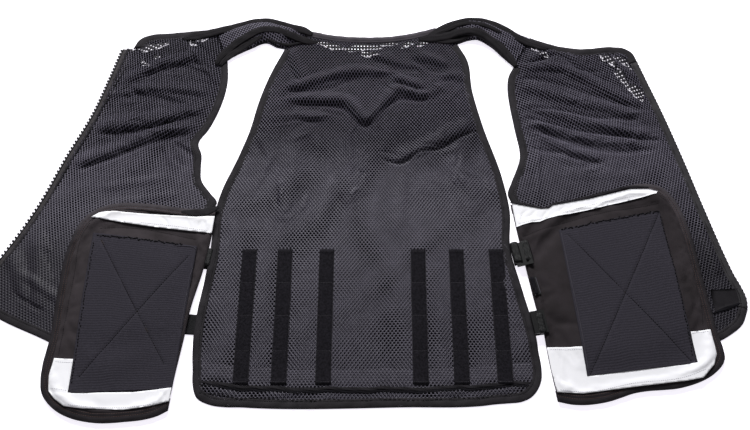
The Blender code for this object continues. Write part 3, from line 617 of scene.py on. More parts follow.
# Cloths. Columns: the material's name, its dark and light tone, roughness, and what else it has
CLOTHS = {
    "net": ("net_thread", (0.062, 0.057, 0.076), (0.084, 0.078, 0.102), 0.45, {"gleam": 0.35}),
    "front_net": (
        "front_net_thread", (0.070, 0.064, 0.086), (0.094, 0.087, 0.114), 0.45, {"gleam": 0.22},
    ),
    "net_under": ("net_thread_under", (0.050, 0.046, 0.061), (0.070, 0.065, 0.085), 0.6, {}),
    "front_under": ("front_thread_under", (0.040, 0.036, 0.049), (0.062, 0.057, 0.075), 0.6, {}),
    "base": (
        "outer_cloth", (0.003, 0.0027, 0.004), (0.006, 0.0055, 0.008), 0.85,
        {"bands": ((1.6, "DIAGONAL", 0.0002),)},
    ),
    "facing": ("facing", (0.060, 0.056, 0.068), (0.078, 0.073, 0.090), 0.8, {}),
    "binding": (
        "binding_tape", (0.016, 0.0147, 0.017), (0.0285, 0.026, 0.0295), 0.75, TWILL,
    ),
    "strap": (
        "strap_tape", (0.0105, 0.0097, 0.0112), (0.0195, 0.0178, 0.0202), 0.7,
        {**TWILL, "gleam": 0.06},
    ),
    "collar": ("collar_tape", (0.050, 0.045, 0.053), (0.078, 0.070, 0.081), 0.75, TWILL),
    "rim": ("rim_tape", (0.036, 0.0315, 0.036), (0.058, 0.051, 0.058), 0.75, TWILL),
    "roll": (
        "rolled_webbing", (0.0038, 0.0041, 0.0046), (0.0065, 0.0070, 0.0076), 0.45,
        {"bands": ((2.0, "X", 0.0002), (1.2, "Y", 0.0002)), "gleam": 0.28},
    ),
    "edge_tape": ("pocket_edge_tape", (0.012, 0.011, 0.013), (0.020, 0.0185, 0.0215), 0.8, TWILL),
    "tape": (
        "fuzzy_tape", (0.003, 0.0028, 0.004), (0.016, 0.0145, 0.019), 0.95,
        {"mottle": 350.0, "grain": (1500.0, 0.0006)},
    ),
    "webbing": (
        "webbing", (0.008, 0.008, 0.009), (0.016, 0.016, 0.018), 0.7,
        {"bands": ((2.2, "X", 0.0003), (1.4, "Y", 0.0002))},
    ),
    "zip_tape_left": (
        "zip_tape_left", (0.046, 0.042, 0.044), (0.064, 0.059, 0.062), 0.8, ZIP_TWILL,
    ),
    "zip_tape_right": (
        "zip_tape_right", (0.030, 0.029, 0.031), (0.046, 0.044, 0.047), 0.8, ZIP_TWILL,
    ),
    "cover_left": (
        "wing_cover_left", (0.029, 0.0245, 0.0265), (0.045, 0.038, 0.042), 0.85, COVER_WEAVE,
    ),
    "cover_right": (
        "wing_cover_right", (0.022, 0.0185, 0.020), (0.034, 0.0285, 0.032), 0.85, COVER_WEAVE,
    ),
    "patch": (
        "ribbed_patch", (0.025, 0.023, 0.030), (0.040, 0.037, 0.048), 0.9,
        {"mottle": 500.0, "grain": (1400.0, 0.0005)},
    ),
    "white": (
        "white_band", (0.84, 0.84, 0.87), (0.89, 0.89, 0.92), 0.5,
        {"mottle": 25.0, "grain": (3000.0, 0.00004)},
    ),
    "white_thread": ("white_thread", (0.55, 0.55, 0.60), (0.68, 0.68, 0.72), 0.7, {}),
    "thread": ("black_thread", (0.004, 0.004, 0.005), (0.009, 0.008, 0.010), 0.6, {}),
    "brown_thread": ("brown_thread", (0.075, 0.045, 0.040), (0.10, 0.062, 0.055), 0.6, {}),
    "pale_thread": ("tape_thread", (0.034, 0.032, 0.037), (0.052, 0.049, 0.056), 0.7, {}),
    "teeth": ("zip_teeth", (0.004, 0.004, 0.0045), (0.008, 0.008, 0.009), 0.6, {"gleam": 0.2}),
}
# Where cloths are painted lighter or darker along Y. On the nets this paints light and shade: the top
# nets' threads lighter towards the collar are a painted highlight, the under nets darker towards the
# collar are painted fold shade, and the fronts' top net darker towards the hem is painted shade on
# slopes that catch the light. The back's top net and the fronts' under net are also darker towards the
# hem, and the rim's tape is darker towards the hem. Columns: look, from and to which Y of the frame in
# metres, and the share of its colour that it comes to
PAINTED_LIGHT_AND_TONE = (
    ("rim", -0.03, -0.08, 0.48),
    ("net", 0.02, 0.12, 1.3), ("net", 0.1, 0.18, 2.2), ("net", -0.08, -0.2, 0.9),
    ("front_net", -0.02, -0.1, 0.38), ("front_net", 0.1, 0.18, 1.15), ("front_net", 0.0, 0.1, 1.7),
    ("net_under", 0.05, 0.16, 0.2),
    ("front_under", 0.08, 0.18, 0.3), ("front_under", 0.07, -0.03, 0.3),
)


def array(points):
    return np.array(points, float)


def distances(line):
    """How far along the line each of its points lies."""
    return np.concatenate(((0.0,), np.cumsum(np.linalg.norm(np.diff(line, axis=0), axis=1))))


def tangents(line):
    """The direction of a line at each of its points."""
    steps = np.gradient(line, axis=0)
    return steps / np.linalg.norm(steps, axis=1)[:, None]


def smooth_run(points, spacing=None, parts=None):
    """A curve through the points, about one spacing apart or with so many parts to a span."""
    points = array(points)
    spans = np.diff(points, axis=0)
    lengths = np.linalg.norm(spans, axis=1)
    steps = spans / lengths[:, None]
    near, far = lengths[:-1, None], lengths[1:, None]
    inner = (steps[:-1] * far + steps[1:] * near) / (near + far)
    slopes = np.vstack((steps[:1], inner, steps[-1:]))
    samples = []
    for index, length in enumerate(lengths):
        count = parts or max(1, round(length / spacing))
        t = (np.arange(count) / count)[:, None]
        samples.append(
            points[index] * (1 + 2 * t) * (1 - t) ** 2
            + points[index + 1] * (3 - 2 * t) * t**2
            + slopes[index] * (length * t * (1 - t) ** 2)
            - slopes[index + 1] * (length * (1 - t) * t**2)
        )
    samples.append(points[-1:])
    return np.vstack(samples)


def unit(vector):
    return vector / np.linalg.norm(vector)


def left_of(direction):
    return array((-direction[1], direction[0]))


def cross(first, second):
    return first[0] * second[1] - first[1] * second[0]


def mitre(point, before, after, inset):
    """A point of a bend moved inwards along the bend's middle."""
    middle = unit(left_of(before) + left_of(after))
    return point + middle * (inset / (middle @ left_of(before)))


def inset_run(outline, index, inset, inset_before, inset_after):
    """A run of the outline moved inwards, each end fitted to the neighbouring run."""
    run = outline[index]
    previous = outline[index - 1]
    following = outline[(index + 1) % len(outline)]
    first = unit(run[1] - run[0])
    last = unit(run[-1] - run[-2])
    arriving = unit(previous[-1] - previous[-2])
    leaving = unit(following[1] - following[0])
    turn = cross(arriving, first)
    if abs(turn) < LEAST_TURN:
        moved = [mitre(run[0], arriving, first, inset) + first * (2 * CLEAR)]
    else:
        moved = [run[0] + first * (inset_before / turn) - arriving * (inset / turn)]
    for before, here, after in zip(run, run[1:], run[2:]):
        moved.append(mitre(here, unit(here - before), unit(after - here), inset))
    turn = cross(last, leaving)
    if abs(turn) < LEAST_TURN:
        moved.append(mitre(run[-1], last, leaving, inset))
    else:
        moved.append(run[-1] + leaving * (inset / turn) - last * (inset_after / turn))
    return array(moved)


def inset_border(outline, insets):
    """The closed border that the outline's runs make, each moved in by its own inset."""
    border = []
    for index, inset in enumerate(insets):
        after = insets[(index + 1) % len(insets)]
        for point in inset_run(outline, index, inset, insets[index - 1], after):
            if not border or np.linalg.norm(point - border[-1]) > CLEAR:
                border.append(point)
    if np.linalg.norm(border[0] - border[-1]) < CLEAR:
        border.pop()
    return array(border)


def fold_curves(rows, depth):
    """Folds that follow on one another, joined: reach and rise at each point, and the points."""
    runs = []
    for x0, y0, x1, y1, reach, rise in rows:
        if not runs or runs[-1][-1][2:] != (x0, y0):
            runs.append([(reach, rise, x0, y0)])
        runs[-1].append((reach, rise, x1, y1))
    return [(array(run)[:, 0], depth * array(run)[:, 1], array(run)[:, 2:]) for run in runs]


def relief(points, curves, lean=0.0):
    """Highest ridge plus deepest hollow over each point; a lean makes lower sides steeper."""
    ridges, hollows = np.zeros(len(points)), np.zeros(len(points))
    for reach, rise, corners in curves:
        line = smooth_run(corners, CURVE_STEP)
        share = np.linspace(0.0, 1.0, len(line))
        ends = np.minimum(share, 1.0 - share) * CURVE_STEP * len(line)
        taper = np.clip(0.25 + ends / CURVE_TAPER, 0.0, 1.0)
        at = np.linspace(0.0, 1.0, len(corners))
        reaches = np.interp(share, at, np.broadcast_to(reach, len(corners)))
        rises = np.interp(share, at, np.broadcast_to(rise, len(corners))) * taper
        low, high = line.min(axis=0) - 1.5 * reaches.max(), line.max(axis=0) + 1.5 * reaches.max()
        near = np.nonzero(np.all((points[:, :2] > low) & (points[:, :2] < high), axis=1))[0]
        if not len(near):
            continue
        places = points[near, :2]
        best = np.zeros(len(near))
        for k in range(len(line) - 1):
            span = line[k + 1] - line[k]
            there = places - line[k]
            along = np.clip(there @ span / (span @ span), 0.0, 1.0)
            offset = there - along[:, None] * span
            away = np.linalg.norm(offset, axis=1)
            width = reaches[k] * (1.0 + lean * offset[:, 1] / np.maximum(away, 1e-6))
            tall = rises[k] + (rises[k + 1] - rises[k]) * along
            bump = tall * np.cos(0.5 * np.pi * np.minimum(away / width, 1.0)) ** 2
            best = np.where(np.abs(bump) > np.abs(best), bump, best)
        ridges[near] = np.maximum(ridges[near], best)
        hollows[near] = np.minimum(hollows[near], best)
    return ridges + hollows


def small_wrinkles(curves, count, seed):
    """Short random ridges and hollows that run much as the nearest fold does."""
    draw = np.random.default_rng(seed)
    rows = []
    for number in range(count):
        corners = curves[draw.integers(len(curves))][2]
        start = draw.integers(len(corners) - 1)
        span = corners[start + 1] - corners[start]
        middle = corners[start] + span * draw.uniform(-0.2, 1.2) + draw.normal(0, 16, 2)
        angle = math.atan2(span[1], span[0]) + draw.normal(0, 0.3)
        half = draw.uniform(9, 26) * array((math.cos(angle), math.sin(angle)))
        bend = draw.normal(0, 3.0, 2)
        rise = draw.uniform(1.0, 2.2) * (1 if number % 2 else -1)
        rows.append((draw.uniform(5, 8), rise, array((middle - half, middle + bend, middle + half))))
    return rows


def ripple(points):
    """A shallow unevenness, so that no cloth lies quite flat."""
    x, y = points[:, 0], points[:, 1]
    wide = np.sin(x / 27 + y / 61 + 1.3) * np.sin(y / 33 - x / 71 + 0.4)
    fine = np.sin(x / 11 - y / 17 + 2.1) * np.sin(y / 13 + x / 23)
    return 0.5 + 0.4 * wide + 0.15 * fine


def within(points, border):
    """Which points lie inside the closed border."""
    x, y = points[:, 0], points[:, 1]
    inside = np.zeros(len(points), bool)
    for start, end in zip(border, np.roll(border, -1, axis=0)):
        crosses = (start[1] > y) != (end[1] > y)
        with np.errstate(divide="ignore", invalid="ignore"):
            at = start[0] + (end[0] - start[0]) * (y - start[1]) / (end[1] - start[1])
        inside ^= crosses & (at > x)
    return inside


def line_distance(points, line):
    """Distance from each point to a line."""
    nearest = np.full(len(points), 1e9)
    for start, end in zip(line, line[1:]):
        span = end - start
        along = np.clip((points - start) @ span / (span @ span), 0.0, 1.0)
        nearest = np.minimum(nearest, np.linalg.norm(points - start - along[:, None] * span, axis=1))
    return nearest


def edge_distance(points, border):
    """Distance from each point to the closed border."""
    return line_distance(points, np.vstack((border, border[:1])))


def lattice_within(border, spacing):
    """Points of a triangular lattice inside the border and clear of it."""
    low, high = border.min(axis=0), border.max(axis=0)
    row = spacing * math.sin(math.radians(60))
    lattice = array([
        (low[0] + (i + 0.5 * (j % 2)) * spacing, low[1] + j * row)
        for j in range(math.ceil((high[1] - low[1]) / row))
        for i in range(math.ceil((high[0] - low[0]) / spacing))
    ])
    lattice = lattice[within(lattice, border)]
    return lattice[edge_distance(lattice, border) > 0.5 * spacing]


def area_within(border):
    """Area of a closed border, in square millimetres."""
    after = np.roll(border, -1, axis=0)
    return 0.5 * abs(float(np.sum(border[:, 0] * after[:, 1] - border[:, 1] * after[:, 0])))


def turned(x, y, degrees):
    """Coordinates of points turned about the origin."""
    cosine, sine = math.cos(math.radians(degrees)), math.sin(math.radians(degrees))
    return x * cosine - y * sine, x * sine + y * cosine


def spot(x, y, wide, tall, turn):
    """A ragged outline round a centre."""
    angles = np.linspace(0, 2 * np.pi, 15)[:-1]
    size = 1.0 + 0.22 * np.sin(3 * angles + x) + 0.14 * np.sin(5 * angles + y)
    u, v = turned(wide * size * np.cos(angles), tall * size * np.sin(angles), turn)
    return np.column_stack((x + u, y + v))


def cut_size(border):
    """Width and length, in metres, of the smallest turned box round a closed border."""
    sizes = []
    for degrees in range(0, 90, 3):
        sizes.append(np.ptp(turned(border[:, 0], border[:, 1], -degrees), axis=1))
    width, length = min(sizes, key=lambda size: size[0] * size[1])
    return float(width * MM), float(length * MM)


def make_object(name, vertices, faces, look, slot, uvs=None, smooth=True):
    """A mesh object from table coordinates that rides on the frame's only body."""
    vertices = array(vertices).copy()
    vertices[:, :2] -= BOX_CENTRE
    mesh = bpy.data.meshes.new(name)
    mesh.from_pydata((vertices * MM).tolist(), [], [list(map(int, face)) for face in faces])
    mesh.validate()
    mesh.materials.append(look)
    if uvs is not None:
        layer = mesh.uv_layers.new(name="weave")
        corners = np.zeros(len(mesh.loops), np.int32)
        mesh.loops.foreach_get("vertex_index", corners)
        places = array(uvs)[corners] * WEAVE_UNIT
        layer.data.foreach_set("uv", places.astype(np.float32).ravel())
    if smooth:
        mesh.shade_smooth()
    obj = bpy.data.objects.new(name, mesh)
    bpy.context.scene.collection.objects.link(obj)
    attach(obj, "root")
    return obj


def outward(obj):
    """Turns a closed mesh's faces outwards."""
    edit = bmesh.new()
    edit.from_mesh(obj.data)
    bmesh.ops.recalc_face_normals(edit, faces=edit.faces)
    if edit.calc_volume(signed=True) < 0:
        bmesh.ops.reverse_faces(edit, faces=edit.faces)
    edit.to_mesh(obj.data)
    edit.free()
    return obj


def tube_faces(count, size, base=0):
    """Faces round so many rings of points, counted from the base, and over both ends."""
    faces = []
    last = base + (count - 1) * size
    for near in range(base, last, size):
        far = near + size
        for index in range(size):
            after = (index + 1) % size
            faces.append((near + index, near + after, far + after, far + index))
    return [*faces, range(base, base + size), range(last, last + size)]


def loft(name, rings, look, slot):
    """A closed skin over rings of points, which all have the same number of points."""
    rings = array(rings)
    count, size = rings.shape[:2]
    vertices, faces = rings.reshape(-1, 3), tube_faces(count, size)
    along = distances(rings.mean(axis=1))
    steps = np.linalg.norm(np.diff(rings, axis=1), axis=2)
    across = np.hstack((np.zeros((count, 1)), np.cumsum(steps, axis=1)))
    uvs = np.stack((np.repeat(along[:, None], size, axis=1), across), axis=2).reshape(-1, 2)
    return outward(make_object(name, vertices, faces, look, slot, uvs))


def on_surface(row, heights):
    """Points on the table with their heights: one for all, or one each."""
    return np.column_stack((row, np.broadcast_to(heights, len(row))))


def fine_row(outline, index, inset, ends):
    """The run at an inset, fitted at its ends and sampled finely."""
    return smooth_run(inset_run(outline, index, inset, *ends), parts=RUN_PARTS)


def edge_band(name, outline, index, profile, ends, folds, look, slot, pucker=0.25):
    """A band along a run with the profile's cross-section. Profile points are inset and height."""
    rows = []
    for inset, height in profile:
        row = fine_row(outline, index, inset, ends)
        along = distances(row)
        share = max(0.0, min(1.0, (height - profile[0][1]) / 3.0))
        wave = np.sin(along / 3.1 + inset) + 0.7 * np.sin(along / 5.3 + 1.7)
        rise = height + relief(row, folds, FOLD_LEAN) + pucker * share * wave
        rows.append(on_surface(row, rise))
    return loft(name, np.stack(rows, axis=1), look, slot)


def resample(path, pitch):
    """Points along the path one pitch apart, with the direction at each."""
    along = distances(path)
    places = np.arange(0.5 * pitch, along[-1], pitch)

    def at(places):
        return np.column_stack([np.interp(places, along, path[:, axis]) for axis in range(3)])

    steps = at(places + 0.5 * pitch) - at(places - 0.5 * pitch)
    return at(places), steps / np.linalg.norm(steps, axis=1)[:, None]


def stitches(name, paths, look, slot, pitch=3.2, length=2.3, width=0.8, stray=0.0):
    """Short threads in a row along each path, half sunk in the cloth, and strayed if asked."""
    vertices, faces = [], []
    draw = np.random.default_rng(len(name))
    for path in paths:
        points, steps = resample(array(path), pitch)
        for point, step in zip(points, steps):
            if stray:
                point = point + array((*draw.normal(0, stray, 2), 0.0))
                step = unit(step + array((*draw.normal(0, 0.5 * stray, 2), 0.0)))
            side = unit(array((-step[1], step[0], 0.0))) * (0.5 * width)
            rise = array((0.0, 0.0, 0.5 * width))
            base = len(vertices)
            vertices += [point - step * (0.5 * length), point + step * (0.5 * length)]
            for share in (-0.3, 0.3):
                middle = point + step * (share * length)
                vertices += [middle + side, middle + rise, middle - side, middle - rise]
            for index in range(4):
                after = (index + 1) % 4
                faces.append((base, base + 2 + after, base + 2 + index))
                faces.append((base + 2 + index, base + 2 + after, base + 6 + after, base + 6 + index))
                faces.append((base + 1, base + 6 + index, base + 6 + after))
    return make_object(name, vertices, faces, look, slot)


def cloth_sheet(name, border, spacing, lift, height_of, look, slot, holes=(), thick=0.5):
    """A thin cloth within the border, following the heights, with holes cut into it if asked."""
    lattice = lattice_within(border, spacing)
    for hole in holes:
        lattice = lattice[edge_distance(lattice, hole) > 0.4 * spacing]
    points, edges = [], []
    for rim in (border, *holes):
        first = len(points)
        points += [tuple(point) for point in rim]
        edges += [(first + k, first + (k + 1) % len(rim)) for k in range(len(rim))]
    points += [tuple(point) for point in lattice]
    flat, _, faces, *_ = delaunay_2d_cdt([Vector(p) for p in points], edges, [], 0, 1e-4)
    flat = array([tuple(point) for point in flat])
    middles = array([flat[list(face)].mean(axis=0) for face in faces])
    kept = within(middles, border)
    for hole in holes:
        kept &= ~within(middles, hole)
    faces = [face for face, keep in zip(faces, kept) if keep]
    vertices = on_surface(flat, height_of(flat) + lift)
    obj = make_object(name, vertices, faces, look, slot, uvs=flat)
    edit = bmesh.new()
    edit.from_mesh(obj.data)
    bmesh.ops.delete(edit, geom=[v for v in edit.verts if not v.link_faces], context="VERTS")
    bmesh.ops.recalc_face_normals(edit, faces=edit.faces)
    edit.to_mesh(obj.data)
    edit.free()
    solid = obj.modifiers.new("thickness", "SOLIDIFY")
    solid.thickness = thick * MM
    solid.offset = 0.0
    solid.use_rim_only = True
    return obj


def lay(obj, border, rests_on, holes=(), **more):
    """Works out the area of a cloth cut along the border, less its holes, and the size of its cut, and
    keeps neither; the rest that it lies on is not used.
    """
    area = area_within(border) - sum(area_within(hole) for hole in holes)
    cut_size(border)


def net_layer(
    name, border, turn, stretch, drift, opening, heights, height_of, look, gaps=(), spots=(),
    spot_look=None,
):
    """Knitted net: a ring of thread round every hole of a staggered lattice within the border.

    The heights are those of the holes' rims over the cloth and of the threads' crests over these.
    No thread is knitted over a gap. In a spot every other row of holes is nearly shut, and its
    look is another one.
    """
    lift, crest = heights
    low, high = border.min(axis=0), border.max(axis=0)
    middle = 0.5 * (low + high)
    reach = 0.5 * np.linalg.norm(high - low) + 20.0
    rows = math.ceil(reach / (ROW * stretch[1]))
    columns = math.ceil(reach / (PITCH * stretch[0]))
    j, i = np.meshgrid(np.arange(-rows, rows + 1), np.arange(-columns, columns + 1), indexing="ij")
    centres = np.column_stack(((i + 0.5 * (j % 2)).ravel() * PITCH, j.ravel() * ROW))
    size, phase = drift

    def place(cloth):
        u, v = turned(cloth[:, 0] * stretch[0], cloth[:, 1] * stretch[1], turn)
        x, y = middle[0] + u, middle[1] + v
        shift_x = size * (np.sin(x / 41 + y / 83 + phase) + 0.6 * np.sin(y / 29 - x / 67 + 2 * phase))
        shift_y = size * (np.sin(y / 47 - x / 59 + 3 * phase) + 0.6 * np.sin(x / 31 + y / 73 + phase))
        return np.column_stack((x + shift_x, y + shift_y))

    kept = within(place(centres), border)
    for gap in gaps:
        kept &= ~within(place(centres), gap)
    centres = centres[kept]
    places = place(centres)
    opened = np.interp(places[:, 1], *opening)
    odd_row = np.round(centres[:, 1] / ROW).astype(int) % 2 == 1
    in_spot = np.zeros(len(places), bool)
    for open_spot in spots:
        in_spot |= within(places, open_spot)
    opened[in_spot] = np.where(odd_row[in_spot], SPOT_OPENINGS[1], SPOT_OPENINGS[0])
    outer = (centres[:, None, :] + array(RING_OUT)[None]).reshape(-1, 2)
    hole = (centres[:, None, :] + array(RING_HOLE)[None] * opened[:, None, None]).reshape(-1, 2)
    keys, back = np.unique(np.round(outer * 32).astype(np.int64), axis=0, return_inverse=True)
    shared = place(keys / 32.0)
    holes = place(hole)
    vertices = np.vstack((
        on_surface(shared, height_of(shared) + lift + crest),
        on_surface(holes, height_of(holes) + lift),
    ))
    out = back.reshape(-1, 6)
    rim = len(keys) + np.arange(len(hole)).reshape(-1, 6)
    out_next, rim_next = np.roll(out, -1, axis=1), np.roll(rim, -1, axis=1)
    faces = np.stack((out, out_next, rim_next, rim), axis=2).reshape(-1, 4)
    cloth = np.vstack((keys / 32.0, hole))
    obj = make_object(name, vertices, faces, look, "net", uvs=cloth)
    if spot_look:
        obj.data.materials.append(spot_look)
        rings = np.repeat(in_spot, 6).astype(np.int32)
        obj.data.polygons.foreach_set("material_index", rings)
    return obj


def surface_of(*objects):
    """A function that gives the highest point of the objects over each table point."""
    trees = []
    for obj in objects:
        graph = bpy.context.evaluated_depsgraph_get()
        trees.append(BVHTree.FromObject(obj.evaluated_get(graph), graph))

    def height_of(points):
        heights = []
        for x, y in points[:, :2]:
            start = Vector(((x - BOX_CENTRE[0]) * MM, (y - BOX_CENTRE[1]) * MM, 1.0))
            best = 0.0
            for tree in trees:
                hit = tree.ray_cast(start, Vector((0, 0, -1)))[0]
                if hit is not None:
                    best = max(best, hit.z / MM)
            heights.append(best)
        return array(heights)

    return height_of


# Materials


def new_look(name):
    look = bpy.data.materials.new(name)
    look.use_nodes = True
    tree = look.node_tree
    return look, tree, tree.nodes["Principled BSDF"]


def add_node(tree, kind, **inputs):
    node = tree.nodes.new(kind)
    for key, value in inputs.items():
        node.inputs[key.replace("_", " ")].default_value = value
    return node


def glowing(shader, colour, strength):
    """Gives a look a faint light of its own."""
    shader.inputs["Emission Color"].default_value = colour
    shader.inputs["Emission Strength"].default_value = strength


def mottled(tree, shader, dark, light, scale, coordinates):
    """Base colour that drifts between two tones."""
    noise = add_node(tree, "ShaderNodeTexNoise", Scale=scale, Detail=4.0, Roughness=0.6)
    tree.links.new(coordinates, noise.inputs["Vector"])
    ramp = tree.nodes.new("ShaderNodeValToRGB")
    ramp.color_ramp.elements[0].position = 0.3
    ramp.color_ramp.elements[0].color = (*dark, 1.0)
    ramp.color_ramp.elements[1].position = 0.7
    ramp.color_ramp.elements[1].color = (*light, 1.0)
    tree.links.new(noise.outputs["Fac"], ramp.inputs["Fac"])
    tree.links.new(ramp.outputs["Color"], shader.inputs["Base Color"])


def waves(tree, coordinates, pitch, direction):
    """Parallel bands one pitch apart, in millimetres of the weave coordinates."""
    wave = add_node(
        tree, "ShaderNodeTexWave", Scale=BAND_SCALE / (pitch * WEAVE_UNIT), Distortion=0.8,
        Detail=2.0, Detail_Scale=1.0,
    )
    wave.bands_direction = direction
    tree.links.new(coordinates, wave.inputs["Vector"])
    return wave.outputs["Fac"]


def bumped(tree, shader, height, depth, before=None):
    """Bump of so many metres, laid over an earlier one."""
    bump = add_node(tree, "ShaderNodeBump", Distance=depth, Strength=1.0)
    tree.links.new(height, bump.inputs["Height"])
    if before is not None:
        tree.links.new(before, bump.inputs["Normal"])
    tree.links.new(bump.outputs["Normal"], shader.inputs["Normal"])
    return bump.outputs["Normal"]


def fabric(
    name, dark, light, roughness, bands=(), mottle=60.0, grain=(2200.0, 0.00012), gleam=0.12
):
    """Cloth with two tones, woven bands (pitch, direction, depth) and a fine grain."""
    look, tree, shader = new_look(name)
    places = tree.nodes.new("ShaderNodeTexCoord")
    weave = tree.nodes.new("ShaderNodeUVMap")
    weave.uv_map = "weave"
    mottled(tree, shader, dark, light, mottle, places.outputs["Object"])
    shader.inputs["Roughness"].default_value = roughness
    shader.inputs["Specular IOR Level"].default_value = gleam
    normal = None
    for pitch, direction, depth in bands:
        height = waves(tree, weave.outputs["UV"], pitch, direction)
        normal = bumped(tree, shader, height, depth, normal)
    noise = add_node(tree, "ShaderNodeTexNoise", Scale=grain[0], Detail=2.0)
    tree.links.new(places.outputs["Object"], noise.inputs["Vector"])
    bumped(tree, shader, noise.outputs["Fac"], grain[1], normal)
    return look


def paint_along_y(look, start, end, share):
    """Brings a cloth's colour to a share of itself from one Y of the frame to another, in metres; this
    paints the nets' light and shade.
    """
    tree = look.node_tree
    shader = tree.nodes["Principled BSDF"]
    ramp = shader.inputs["Base Color"].links[0].from_socket
    places = tree.nodes.new("ShaderNodeTexCoord")
    parts = tree.nodes.new("ShaderNodeSeparateXYZ")
    tree.links.new(places.outputs["Object"], parts.inputs["Vector"])
    span = tree.nodes.new("ShaderNodeMapRange")
    for socket, value in (("From Min", start), ("From Max", end), ("To Min", 1.0), ("To Max", share)):
        span.inputs[socket].default_value = value
    tree.links.new(parts.outputs["Y"], span.inputs["Value"])
    scale = tree.nodes.new("ShaderNodeVectorMath")
    scale.operation = "SCALE"
    tree.links.new(ramp, scale.inputs[0])
    tree.links.new(span.outputs["Result"], scale.inputs["Scale"])
    tree.links.new(scale.outputs["Vector"], shader.inputs["Base Color"])


def plastic(name, colour, roughness):
    """Moulded plastic with a faint orange-peel surface."""
    look, tree, shader = new_look(name)
    places = tree.nodes.new("ShaderNodeTexCoord")
    light = tuple(1.5 * part for part in colour)
    mottled(tree, shader, colour, light, 300.0, places.outputs["Object"])
    shader.inputs["Roughness"].default_value = roughness
    shader.inputs["Specular IOR Level"].default_value = 0.25
    shader.inputs["Coat Weight"].default_value = 0.03
    shader.inputs["Coat Roughness"].default_value = 0.25
    noise = add_node(tree, "ShaderNodeTexNoise", Scale=900.0, Detail=2.0)
    tree.links.new(places.outputs["Object"], noise.inputs["Vector"])
    bumped(tree, shader, noise.outputs["Fac"], 0.00008)
    return look


def make_looks():
    looks = {
        key: fabric(name, dark, light, roughness, **more)
        for key, (name, dark, light, roughness, more) in CLOTHS.items()
    }
    looks["plastic"] = plastic("moulded_plastic", (0.0045, 0.0047, 0.005), 0.5)
    # Painted light and shade on the nets along Y, and the rim's tape darker towards the hem
    for key, start, end, share in PAINTED_LIGHT_AND_TONE:
        paint_along_y(looks[key], start, end, share)
    glowing(looks["white"].node_tree.nodes["Principled BSDF"], *WHITE_GLOW)
    return looks


# Panels of net


def under_wing(side):
    """The border of what a wing hides: its outline drawn in."""
    runs = [smooth_run(run, RUN_SPACING) for run in WINGS[side]["runs"]]
    return inset_border(runs, (HIDDEN_INSET, HIDDEN_INSET))


def build_net(panel, outline, folds, looks):
    """A panel's opaque cloth, its upper net and, where no wing hides it, its under net."""
    name = panel["part"] + panel["suffix"]
    kinds = [kind for kind, _ in panel["runs"]]
    cloth_insets = {**NET_INSETS, **panel["cloth_insets"]}
    rim = inset_border(outline, [cloth_insets[kind] for kind in kinds])
    net_border = inset_border(outline, [NET_INSETS[kind] for kind in kinds])
    high_folds = [curve for curve in folds if curve[2][0][1] > WRINKLE_FOOT]
    small = small_wrinkles(high_folds, WRINKLES, len(name))

    def height_of(points):
        room = np.clip((edge_distance(points[:, :2], rim) - 5.0) / 14.0, 0.0, 1.0)
        high = np.clip((points[:, 1] - WRINKLE_FOOT + 30.0) / 60.0, 0.0, 1.0)
        fine = relief(points, panel["creases"]) + relief(points, small) + BILLOW * high
        return np.maximum(relief(points, folds, FOLD_LEAN) + room * fine, 0.0) + ripple(points)

    holes = [spot(*row) for row in panel["spots"]]
    hidden = [under_wing(panel["wing"])] if panel["wing"] else []
    base = cloth_sheet(
        f"{name}_cloth", rim, CLOTH_SPACING, CLOTH_LIFT, height_of, looks["base"], "net", holes
    )
    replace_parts(base, f"{panel['part']}_panel{panel['suffix']}")
    turn, opening = panel["turn"], panel["opening"]
    under_look, upper_look = (looks[look] for look in panel["net_looks"])
    under = net_layer(
        f"{name}_net_under", net_border, turn + 1.0, (1.05, 1.02), (1.5, 0.8), opening, UNDER_NET,
        height_of, under_look, gaps=[*holes, *hidden],
    )
    upper = net_layer(
        f"{name}_net", net_border, turn, (1.0, 1.0), (0.8, 2.0), opening, UPPER_NET, height_of,
        upper_look, spots=holes, spot_look=under_look,
    )
    lay(base, rim, [], holes, with_pieces=[under, upper])
    return height_of


def build_panel(panel, looks):
    """A net panel with the bands along its edges, the stitches on them and its zip's teeth."""
    suffix = panel["suffix"]
    kinds = [kind for kind, _ in panel["runs"]]
    outline = [smooth_run(run, RUN_SPACING) for _, run in panel["runs"]]
    folds = fold_curves(panel["folds"], panel["depth"])
    height_of = build_net(panel, outline, folds, looks)
    rows = []
    for piece, node, kind, profile, look, slot, pucker, seam in panel["bands"]:
        index = kinds.index(kind)
        ends = (ZIP_REACH + ZIP_HEAD_MARGIN if kinds[index - 1] == "zip" else 0.0, 0.0)
        obj = edge_band(
            piece + suffix, outline, index, profile, ends, folds, looks[look], slot, pucker
        )
        if node:
            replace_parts(obj, node + suffix)
        if seam:
            row = fine_row(outline, index, seam, ends)
            rows.append(on_surface(row, relief(row, folds, FOLD_LEAN) + BAND_SEAM_LIFT))
    stitches(f"{panel['part']}_edge_stitches{suffix}", rows, looks["thread"], "binding")
    if "zip" in kinds:
        zip_teeth(suffix, outline, kinds.index("zip"), panel["teeth_out"], looks)
    return height_of


